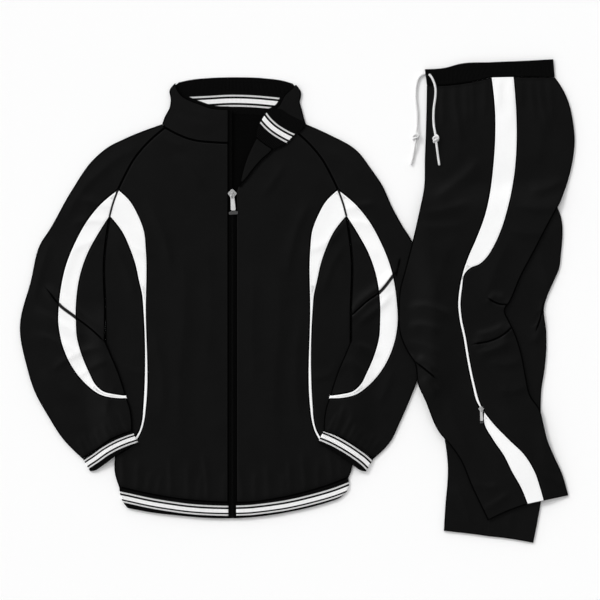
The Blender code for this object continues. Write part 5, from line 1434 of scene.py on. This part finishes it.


# Each cloth's fourth colour is its painted shade colour
black_cloth = make_cloth("black_cloth", grey(0.0026), grey(0.0032), grey(0.005), grey(0.0),
                         1.0, 3.2 * MM, 0.42, 0.0, 0.085)
# Near-black cloth: painted shade on curled edges, along edges and in creases of black cloth
shaded_cloth = make_plain("shaded_cloth", grey(0.0005), 0.9, 0.02, grain=800.0)
white_cloth = make_cloth("white_cloth", grey(0.90), grey(0.94), grey(0.84), grey(0.006),
                         0.32, 0.9 * MM, 0.7, 0.05, 0.3)
# The inner faces' finish: the cloth's matte back, painted near-black as the shade inside the garment and on
# the rims of black cloth
inside_cloth_painted_shade = make_plain("inside_cloth_painted_shade", grey(0.0008), 0.9, 0.04, grain=800.0)
black_rib = make_rib("black_rib", grey(0.0005), grey(0.96), grey(0.68))
plain_rib = make_rib("plain_rib", grey(0.0005), grey(0.96), grey(0.68), striped=False)
zip_tape = make_plain("zip_tape", grey(0.0005), 0.8, 0.03, grain=900.0, depth=0.08)
zip_teeth = make_plain("zip_teeth", grey(0.001), 0.45, 0.1)
tab_metal = make_plain("tab_metal", grey(0.86), 0.55, 0.5, 1.0)
slider_metal = make_plain("slider_metal", grey(0.55), 0.5, 0.5, 1.0)
grip_plastic = make_plain("grip_plastic", grey(0.05), 0.45)
white_cord = make_cord()


# The jacket's pieces
def build_front(side):
    """One front, its white insert and its side front."""
    own = lines[side]
    ring = [seam(own["raglan"]), seam(own["insert_outer"]), seam(own["tail_outer"]),
            crease(own["side_lower"])]
    if side == "right":
        ring += [seam(across["hem_right"]), seam(across["front_right"]),
                 seam(back(across["neck_right"]))]
    else:
        ring += [seam(back(across["hem_left"])), seam(across["front_left"]),
                 seam(across["roll"]), seam(across["neck_left"])]
    front = Piece()
    edges = front.add_sheet(ring, body_top, above=floor, ribs=[across[f"hem_{side}"]])
    front.add_crease(edges[3], front.add_lip(edges[3], floor))
    front.finish(f"{side}_front", JACKET_PLACE, black_cloth, "black_cloth")

    insert = Piece()
    edges = insert.add_sheet([narrow(own["armhole"]), narrow(own["insert_inner"]),
                              narrow(own["tail_inner"]), crease(own["side_piping"]),
                              narrow(back(own["tail_outer"])),
                              narrow(back(own["insert_outer"]))], body_top, above=floor,
                             painted_shade_seams=[own["armhole"]])
    insert.add_crease(edges[3], insert.add_lip(edges[3], floor))
    insert.finish(f"{side}_body_insert", JACKET_PLACE, white_cloth, "white_cloth")

    side_front = Piece()
    edges = side_front.add_sheet([crease(own["side_upper"], CREASE_GAP),
                                  crease(own["side_middle"], CREASE_GAP),
                                  seam(back(own["tail_inner"])),
                                  seam(back(own["insert_inner"]))], body_top, above=floor)
    edge = chain(edges[0], edges[1])
    side_front.add_crease(edge, side_front.add_lip(edge, floor))
    side_front.finish(f"{side}_side_front", JACKET_PLACE, black_cloth, "black_cloth")


def build_back():
    """The back, flat on the floor."""
    piece = Piece()
    piece.add_sheet([
        under(right["raglan_back"]), under(right["armhole"]),
        tucked(right["side_upper"], CREASE_GAP), tucked(right["side_middle"], CREASE_GAP),
        tucked(right["side_piping"]), tucked(right["side_lower"]),
        under(across["hem_back"]),
        tucked(back(left["side_lower"])), tucked(back(left["side_piping"])),
        tucked(back(left["side_middle"]), CREASE_GAP),
        tucked(back(left["side_upper"]), CREASE_GAP),
        under(back(left["armhole"])), under(back(left["raglan_back"])),
        under(back(across["neck_back"]))], floor, False, PLAIN_PITCH)
    piece.finish("back", JACKET_PLACE, black_cloth, "black_cloth")


def build_sleeve(side):
    """One sleeve: its front, crescent and inset above, and its back beneath."""
    own = lines[side]
    outer = Piece()
    edges = outer.add_sheet([crease(own["overarm"]), seam(own["cuff_seam"]),
                             crease(back(own["sleeve_inner_lower"])),
                             seam(back(own["crescent_outer"])), seam(back(own["raglan"])),
                             seam(back(own["sleeve_neck"]))], sleeve_top, above=sleeve_base,
                            creases=sleeve_creases, ribs=[own["cuff_seam"]])
    outer.add_crease(edges[0], outer.add_lip(edges[0], sleeve_base))
    outer.add_crease(edges[2], outer.add_lip(edges[2], sleeve_base))
    outer.finish(f"{side}_sleeve_front", JACKET_PLACE, black_cloth, "black_cloth")

    crescent = Piece()
    edges = crescent.add_sheet([narrow(own["crescent_outer"]),
                                crease(back(own["sleeve_inner_tail"])),
                                narrow(back(own["crescent_inner"])),
                                narrow(back(own["armhole"]))],
                               sleeve_top, above=sleeve_base, creases=sleeve_creases,
                               painted_shade_seams=[own["armhole"]])
    crescent.add_crease(edges[1], crescent.add_lip(edges[1], sleeve_base))
    crescent.finish(f"{side}_sleeve_crescent", JACKET_PLACE, white_cloth, "white_cloth")

    inset = Piece()
    edges = inset.add_sheet([seam(own["crescent_inner"]),
                             crease(back(own["sleeve_inner_upper"]), CREASE_GAP),
                             crease(back(own["side_upper"]), CREASE_GAP)], sleeve_top,
                            above=sleeve_base, creases=sleeve_creases)
    edge = chain(edges[1], edges[2])
    inset.add_crease(edge, inset.add_lip(edge, sleeve_base))
    inset.finish(f"{side}_sleeve_inset", JACKET_PLACE, black_cloth, "black_cloth")

    lower = Piece()
    lower.add_sheet([tucked(own["overarm"]), under(own["cuff_seam"]),
                     tucked(back(own["sleeve_inner_lower"])),
                     tucked(back(own["sleeve_inner_tail"])),
                     tucked(back(own["sleeve_inner_upper"]), CREASE_GAP),
                     tucked(back(own["side_upper"]), CREASE_GAP),
                     under(back(own["armhole"])), under(back(own["raglan_back"])),
                     under(back(own["sleeve_neck_back"]))], sleeve_base, False, PLAIN_PITCH)
    lower.finish(f"{side}_sleeve_back", JACKET_PLACE, black_cloth, "black_cloth")

    cuff = Piece()
    ring = [seam(own["cuff_seam"]), crease(own["cuff_inner_edge"]),
            free(back(own["cuff_bottom"])), crease(back(own["cuff_outer_edge"]))]
    above = cuff.add_sheet(ring, sleeve_top, True, RIB_PITCH, sleeve_base)
    below = cuff.add_sheet(ring, sleeve_base, False, RIB_PITCH)
    cuff.add_crease(above[1], below[1])
    cuff.add_crease(above[3], below[3])
    cuff.finish(f"{side}_cuff", JACKET_PLACE, black_rib, "black_rib", "folded",
                stripes=STRIPES[f"{side}_cuff"])


def build_hem():
    """The rib band: two fronts that curl round the sides, and the back."""
    for side in SIDES:
        own = lines[side]
        bottom = across[f"band_bottom_{side}"]
        if side == "right":
            ring = [crease(own["band_side"]), free(bottom), seam(back(across["band_end_right"])),
                    seam(back(across["hem_right"]))]
        else:
            ring = [crease(own["band_side"]), free(back(bottom)),
                    seam(back(across["band_end_left"])), seam(across["hem_left"])]
        band = Piece()
        edges = band.add_sheet(ring, body_top, True, RIB_PITCH, floor)
        band.add_crease(edges[0], band.add_lip(edges[0], floor))
        band.finish(f"{side}_hem_band", JACKET_PLACE, black_rib, "black_rib",
                    stripes=STRIPES[f"{side}_hem"])
    band = Piece()
    band.add_sheet([tucked(right["band_side"]), free(across["band_bottom_back"]),
                    tucked(back(left["band_side"])), under(back(across["hem_back"]))],
                   floor, False, RIB_PITCH)
    band.finish("back_hem_band", JACKET_PLACE, black_rib, "black_rib",
                stripes=STRIPES["back_hem"])


def build_collar():
    """The collar's back and two fronts, and the turned-out end with its facing."""
    right_front = Piece()
    edges = right_front.add_sheet([
        seam(right["sleeve_neck"]), seam(across["neck_right"]),
        free(across["collar_end_right"]), free(back(across["collar_top_right"])),
        crease(back(across["collar_side_right"]), 0.0, COLLAR_CREASE)], body_top, above=floor)
    right_front.add_crease(edges[4], right_front.add_lip(edges[4], floor))
    right_front.finish("right_collar", JACKET_PLACE, black_cloth, "black_cloth",
                       wall=COLLAR_WALL)

    left_front = Piece()
    edges = left_front.add_sheet([
        crease(across["collar_side_left"], 0.0, COLLAR_CREASE), free(across["collar_top_left"]),
        free(across["collar_roll"]), seam(across["neck_left"]),
        seam(back(left["sleeve_neck"]))], body_top, above=floor)
    left_front.add_crease(edges[0], left_front.add_lip(edges[0], floor))
    left_front.finish("left_collar", JACKET_PLACE, black_cloth, "black_cloth",
                      wall=COLLAR_WALL)

    rear = Piece()
    rear.add_sheet([
        under(right["sleeve_neck_back"]), under(across["neck_back"]),
        under(back(left["sleeve_neck_back"])),
        tucked(across["collar_side_left"], 0.0, COLLAR_CREASE),
        free(back(across["collar_top_back"])),
        tucked(back(across["collar_side_right"]), 0.0, COLLAR_CREASE)], floor, False, RIB_PITCH)
    rear.finish("back_collar", JACKET_PLACE, black_rib, "black_rib", wall=COLLAR_WALL,
                inside=black_rib, stripes=STRIPES["back_collar"],
                stripe_stops=[across["collar_top_right"], across["collar_top_left"]])

    turned = Piece()
    turned.add_sheet([free(across["turned_top"]), free(across["turned_end"]),
                      seam(across["turned_neck"], SEWN_TURNED), free(back(across["collar_roll"]))],
                     turned_collar_face, True, RIB_PITCH)
    turned.finish("left_collar_turned_end", JACKET_PLACE, black_rib, "black_rib", "folded",
                  COLLAR_WALL, stripes=STRIPES["turned_end"])

    facing = Piece()
    facing.add_sheet([free(across["facing_roll"]), seam(back(across["turned_neck"]), SEWN_TURNED),
                      free(across["facing_free"])], turned_top_face)
    facing.finish("left_front_facing", JACKET_PLACE, black_cloth, "black_cloth", "folded")


# The trousers' pieces
def build_trousers():
    """The waistband, the left leg on top and the right leg beneath."""
    band = Piece()
    seam_line = np.vstack([leg["waist_seam_front"], leg["waist_seam_stripe"][1:],
                           leg["waist_seam_rear"][1:]])
    ring = [free(leg["waist_top"]), crease(leg["waist_back"]), seam(back(seam_line)),
            crease(back(leg["waist_front"]))]
    above = band.add_sheet(ring, trouser_top, True, RIB_PITCH, trouser_base)
    below = band.add_sheet(ring, floor, False, RIB_PITCH)
    band.add_crease(above[1], below[1])
    band.add_crease(above[3], below[3])
    band.finish("waistband", TROUSERS_PLACE, plain_rib, "black_rib", "folded",
                stripes=STRIPES["waistband"])

    front = Piece()
    above = front.add_sheet([seam(leg["waist_seam_front"]), seam(leg["stripe_front"]),
                             seam(leg["gusset_front"]), free(back(leg["left_hem_front"])),
                             crease(back(leg["front_leg"])), crease(back(leg["front_hip"]))],
                            trouser_top, above=trouser_under, creases=left_leg_creases,
                            ribs=[leg["waist_seam_front"]])
    below = front.add_sheet([crease(leg["front_leg"]), free(leg["left_hem_inner_front"]),
                             under(back(leg["inseam_left"])),
                             under(back(leg["crotch_front_left"]))], left_leg_base,
                            False, PLAIN_PITCH)
    lip = front.add_lip(above[5], trouser_base)
    front.add_crease(chain(turned_back(above[5]), turned_back(above[4])),
                     chain(turned_back(lip), below[0]))
    front.finish("left_front_leg", TROUSERS_PLACE, black_cloth, "black_cloth", "folded")

    rear = Piece()
    above = rear.add_sheet([seam(leg["waist_seam_rear"]), crease(leg["back_hip"]),
                            crease(leg["back_leg"]), free(back(leg["left_hem_rear"])),
                            seam(back(leg["gusset_rear"])), seam(back(leg["stripe_rear"]))],
                           trouser_top, above=trouser_under, creases=left_leg_creases,
                           ribs=[leg["waist_seam_rear"]])
    below = rear.add_sheet([under(leg["crotch_rear_left"]), crease(leg["back_leg"]),
                            free(back(leg["left_hem_inner_rear"])), under(back(leg["inseam_left"]))],
                           left_leg_base, False, PLAIN_PITCH)
    lip = rear.add_lip(above[1], trouser_base)
    rear.add_crease(chain(above[1], above[2]), chain(lip, below[1]))
    rear.finish("left_back_leg", TROUSERS_PLACE, black_cloth, "black_cloth", "folded")

    side_stripe = Piece()
    side_stripe.add_sheet([narrow(leg["waist_seam_stripe"]), narrow(leg["stripe_rear"]),
                           narrow(back(leg["gusset_top"])), narrow(back(leg["stripe_front"]))],
                          trouser_top, above=trouser_under, creases=left_leg_creases)
    side_stripe.finish("left_side_stripe", TROUSERS_PLACE, white_cloth, "white_cloth")

    gusset = Piece()
    gusset.add_sheet([narrow(leg["gusset_top"]), narrow(leg["gusset_rear"]),
                      free(back(leg["left_hem_gusset"])), narrow(back(leg["gusset_front"]))],
                     trouser_top, above=trouser_under)
    gusset.finish("left_ankle_gusset", TROUSERS_PLACE, white_cloth, "white_cloth")

    front = Piece()
    above = front.add_sheet([seam(leg["crotch_front"]), flush(leg["inseam_lower"]),
                             free(back(leg["lower_hem_front"])),
                             crease(back(leg["lower_front"]))], lower_leg_top,
                            above=trouser_base)
    below = front.add_sheet([under(leg["waist_seam_floor_front"]), under(leg["outseam"]),
                             free(back(leg["lower_hem_front"])), crease(back(leg["lower_front"])),
                             tucked(back(leg["join_front"])), tucked(back(leg["front_hip"]))],
                            trouser_base, False, PLAIN_PITCH)
    front.add_crease(above[3], below[3])
    front.finish("right_front_leg", TROUSERS_PLACE, black_cloth, "black_cloth", "folded")

    rear = Piece()
    above = rear.add_sheet([seam(leg["crotch_rear"]), crease(leg["lower_back"]),
                            free(back(leg["lower_hem_rear"])), flush(back(leg["inseam_lower"]))],
                           lower_leg_top, above=trouser_base, creases=right_leg_creases)
    below = rear.add_sheet([under(leg["waist_seam_floor_rear"]), tucked(leg["back_hip"]),
                            tucked(back(leg["join_back"])), crease(leg["lower_back"]),
                            free(back(leg["lower_hem_rear"])), under(back(leg["outseam"]))],
                           trouser_base, False, PLAIN_PITCH)
    rear.add_crease(above[1], below[3])
    rear.finish("right_back_leg", TROUSERS_PLACE, black_cloth, "black_cloth", "folded")


for side in SIDES:
    build_front(side)
    build_sleeve(side)
build_back()
build_hem()
build_collar()
build_trousers()


# Cords and their knots
def sweep(name, path, radius, sides, materials, tip=0.0):
    """A round tube along a path, rounded off at its far end."""
    mesh = bmesh.new()
    mesh.verts.layers.float.new("cord_along")
    mesh.verts.layers.float.new("cord_round")
    layers = mesh.verts.layers.float
    ways = np.gradient(path, axis=0)
    ways /= np.linalg.norm(ways, axis=1)[:, None]
    run = np.concatenate([[0], np.cumsum(np.linalg.norm(np.diff(path, axis=0), axis=1))])
    rings = []
    for place, way, length in zip(path, ways, run):
        sideways = np.cross(way, (0.0, 0.0, 1.0))
        sideways /= np.linalg.norm(sideways)
        upwards = np.cross(sideways, way)
        left_over = run[-1] - length
        size = radius
        if tip and left_over < tip:
            size = radius * math.sqrt(max(0.04, 1 - (1 - left_over / tip) ** 2))
        ring = []
        for index in range(sides):
            angle = 2 * math.pi * index / sides
            spot = place + size * (math.cos(angle) * sideways + math.sin(angle) * upwards)
            point = mesh.verts.new(spot)
            point[layers["cord_along"]] = length
            point[layers["cord_round"]] = abs(1 - 2 * index / sides)
            ring.append(point)
        rings.append(ring)
    for low, high in zip(rings[:-1], rings[1:]):
        for index in range(sides):
            after = (index + 1) % sides
            mesh.faces.new([low[index], low[after], high[after], high[index]])
    mesh.faces.new(rings[0][::-1])
    mesh.faces.new(rings[-1])
    bmesh.ops.recalc_face_normals(mesh, faces=mesh.faces)
    return link_mesh(name, mesh, materials)


def build_drawcord(name, route, knot_index, height):
    """One free end of the cord, lying on the cloth or the floor, through its knot."""
    line = cord_lines[name]
    knot_place = np.array([route[knot_index][0], -route[knot_index][1]]) * MM
    away = np.linalg.norm(line - knot_place, axis=1)
    lift = KNOT_LIFT * soft_step((KNOT_LIFT_REACH - away) / (KNOT_LIFT_REACH - KNOT_LEVEL_REACH))
    knot_level = height(knot_place[None, :])[0]
    rest = np.where(away < KNOT_LEVEL_REACH, knot_level, height(line))
    levels = rest + CORD_GAP + CORD_RADIUS + lift
    path = soft_line(np.column_stack([line + np.array(TROUSERS_PLACE), levels]) / MM, BRAID_STEP)
    cord = sweep(f"{name}_braid", path, CORD_RADIUS, 16, [white_cord], CORD_TIP)
    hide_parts(name)
    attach(cord, BODY)
    before, after = np.array(route[knot_index - 1]), np.array(route[knot_index + 1])
    heading = math.atan2(after[0] - before[0], after[1] - before[1])
    centre = (*(knot_place + np.array(TROUSERS_PLACE)),
              knot_level + CORD_GAP + CORD_RADIUS + KNOT_LIFT)
    knot = build_knot(f"{name}_knot", centre, heading)


def build_knot(name, centre, heading):
    """The knot's turns, over the straight run of the cord."""
    turn = np.array([[math.cos(heading), -math.sin(heading)],
                     [math.sin(heading), math.cos(heading)]])
    path = soft_line(KNOT_TURNS, 0.8 * MM)
    path[:, :2] = path[:, :2] @ turn.T
    knot = sweep(f"{name}_braid", path + np.array(centre), KNOT_CORD_RADIUS, 14, [white_cord])
    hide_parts(name)
    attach(knot, BODY)
    return knot


build_drawcord("drawcord_on_front", CORD_ON_FRONT, KNOT_ON_FRONT, trouser_level)
build_drawcord("drawcord_on_floor", CORD_ON_FLOOR, KNOT_ON_FLOOR, floor)


# Zips: tape and teeth
def add_prism(mesh, outline, low, high, shift, spin, slot_index):
    """A small block of an outline, with its top edge chamfered."""
    ring = np.array(outline, float)
    small = inset_ring(ring, [0.25] * len(ring))
    turn = np.array([[math.cos(spin), -math.sin(spin)], [math.sin(spin), math.cos(spin)]])
    rings = []
    for shape, level in ((ring, low), (ring, high - 0.3), (small, high)):
        spots = shape @ turn.T * MM + shift[:2]
        rings.append([mesh.verts.new((spot[0], spot[1], shift[2] + level * MM))
                      for spot in spots])
    faces = []
    for below, above in zip(rings[:-1], rings[1:]):
        for index in range(len(ring)):
            after = (index + 1) % len(ring)
            faces.append(mesh.faces.new([below[index], below[after], above[after],
                                         above[index]]))
    faces.append(mesh.faces.new(rings[0][::-1]))
    faces.append(mesh.faces.new(rings[-1]))
    for face in faces:
        face.material_index = slot_index


def build_zip(node, line, low, high, level, hands, teeth_at):
    """A tape along a line, and its teeth; hands are 1 or -1 for each row of teeth."""
    mesh = bmesh.new()
    ways = np.gradient(line, axis=0)
    ways /= np.linalg.norm(ways, axis=1)[:, None]
    heights = level(line)
    rings = []
    for place, way, height in zip(line, ways, heights):
        over = np.array([-way[1], way[0]])
        ring = []
        for across_it, above in ((low, TAPE_BOTTOM), (high, TAPE_BOTTOM), (high, TAPE_TOP),
                                 (low, TAPE_TOP)):
            spot = place + over * across_it * MM
            ring.append(mesh.verts.new((spot[0], spot[1], height + above * MM)))
        rings.append(ring)
    for below, above in zip(rings[:-1], rings[1:]):
        for index in range(4):
            after = (index + 1) % 4
            mesh.faces.new([below[index], below[after], above[after], above[index]])
    mesh.faces.new(rings[0][::-1])
    mesh.faces.new(rings[-1])
    run = np.concatenate([[0], np.cumsum(np.linalg.norm(np.diff(line, axis=0), axis=1))])
    for hand in hands:
        first = TEETH_STEP * (0.5 if hand > 0 else 1.0)
        for at in np.arange(first, run[-1] - TEETH_STEP / 2, TEETH_STEP):
            place = np.array([np.interp(at, run, line[:, 0]), np.interp(at, run, line[:, 1])])
            way = np.array([np.interp(at, run, ways[:, 0]), np.interp(at, run, ways[:, 1])])
            over = np.array([-way[1], way[0]])
            spot = place + over * (teeth_at + TOOTH_REACH * hand) * MM
            height = float(np.interp(at, run, heights))
            spin = math.atan2(over[1], over[0]) + (math.pi if hand > 0 else 0)
            add_prism(mesh, TOOTH, TAPE_TOP, TOOTH_TOP, np.array([*spot, height]), spin, 1)
    bmesh.ops.recalc_face_normals(mesh, faces=mesh.faces)
    bmesh.ops.translate(mesh, verts=mesh.verts, vec=(*JACKET_PLACE, 0))
    detail = link_mesh(f"{node}_detail", mesh, [zip_tape, zip_teeth])
    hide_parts(node)
    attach(detail, BODY)


def upright_line(over, start, end):
    """A straight line up or down the jacket's front, in even steps."""
    return soft_line(np.array([(over, start), (over, end)]) / MM)


build_zip("zip_chain", upright_line(ZIP_MIDDLE, ZIP_BOTTOM, ZIP_TOP), -7.1, 7.1, body_top,
          (1, -1), 0.0)
build_zip("zip_right_half", upright_line(ZIP_EDGE, OPEN_ZIP_TOP, OPEN_ZIP_BOTTOM), 0.0, 5.2,
          body_top, (-1,), 6.2)
build_zip("zip_left_half",
          np.vstack([across["facing_free"][::-1], across["turned_end"][-2:0:-1]])[::-1],
          0.3, 2.6, turned_top_face, (-1,), 3.4)

# The hard pieces keep their solids
FINISHES = {
    "front_slider": slider_metal, "front_pull": tab_metal, "front_pull_grip": grip_plastic,
    "ankle_slider": slider_metal, "ankle_pull": tab_metal, "ankle_pull_grip": grip_plastic,
}
for node, finish in FINISHES.items():
    for material_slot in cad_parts[node].material_slots:
        material_slot.material = finish

# Camera, straight above as in the photograph
camera_data = bpy.data.cameras.new("camera")
camera_data.lens = LENS
camera_data.sensor_width = SENSOR
camera = bpy.data.objects.new("camera", camera_data)
camera.location = (*VIEW_MIDDLE, SCENE_WIDTH * LENS / SENSOR + 10 * MM)
bpy.context.scene.collection.objects.link(camera)
bpy.context.scene.camera = camera
bpy.context.scene.view_settings.view_transform = "Standard"

# Floor
floor_mesh = bmesh.new()
bmesh.ops.create_grid(floor_mesh, x_segments=1, y_segments=1, size=6)
stage_floor = link_mesh("stage_floor", floor_mesh, [])
stage_floor.location.z = -0.3 * MM
floor_finish, _, floor_shader = start_material("stage_floor", 0.9, 0.0, 0.1)
floor_shader.inputs["Base Color"].default_value = grey(0.96)
stage_floor.data.materials.append(floor_finish)

# Light: a low sun behind a large soft screen, and a tent that is darkest overhead
sun_data = bpy.data.lights.new("key", "SUN")
sun_data.energy = KEY_STRENGTH
sun_data.angle = math.radians(KEY_ANGLE)
sun = bpy.data.objects.new("key", sun_data)
sun.rotation_euler = (-Vector(KEY_FROM)).to_track_quat("-Z", "Y").to_euler()
bpy.context.scene.collection.objects.link(sun)
world = bpy.data.worlds.new("tent")
world.use_nodes = True
tree = world.node_tree
way = add_node(tree, "ShaderNodeTexCoord").outputs["Generated"]
lean = add_node(tree, "ShaderNodeVectorMath", {"operation": "DOT_PRODUCT"}, _0=way,
                _1=Vector(DARK_TOP).normalized()).outputs["Value"]
towards = add_node(tree, "ShaderNodeVectorMath", {"operation": "DOT_PRODUCT"}, _0=way,
                   _1=Vector(KEY_FROM).normalized()).outputs["Value"]
ring = maths(tree, "SUBTRACT", TENT_TOP + TENT_SIDES,
             maths(tree, "MULTIPLY", maths(tree, "MULTIPLY", lean, lean), TENT_SIDES))
lit = maths(tree, "MULTIPLY_ADD", towards, TENT_KEY_SIDE, 1.0)
strength = maths(tree, "MAXIMUM", maths(tree, "MULTIPLY", ring, lit), TENT_TOP)
background = tree.nodes["Background"]
background.inputs["Color"].default_value = grey(1.0)
tree.links.new(strength, background.inputs["Strength"])
bpy.context.scene.world = world
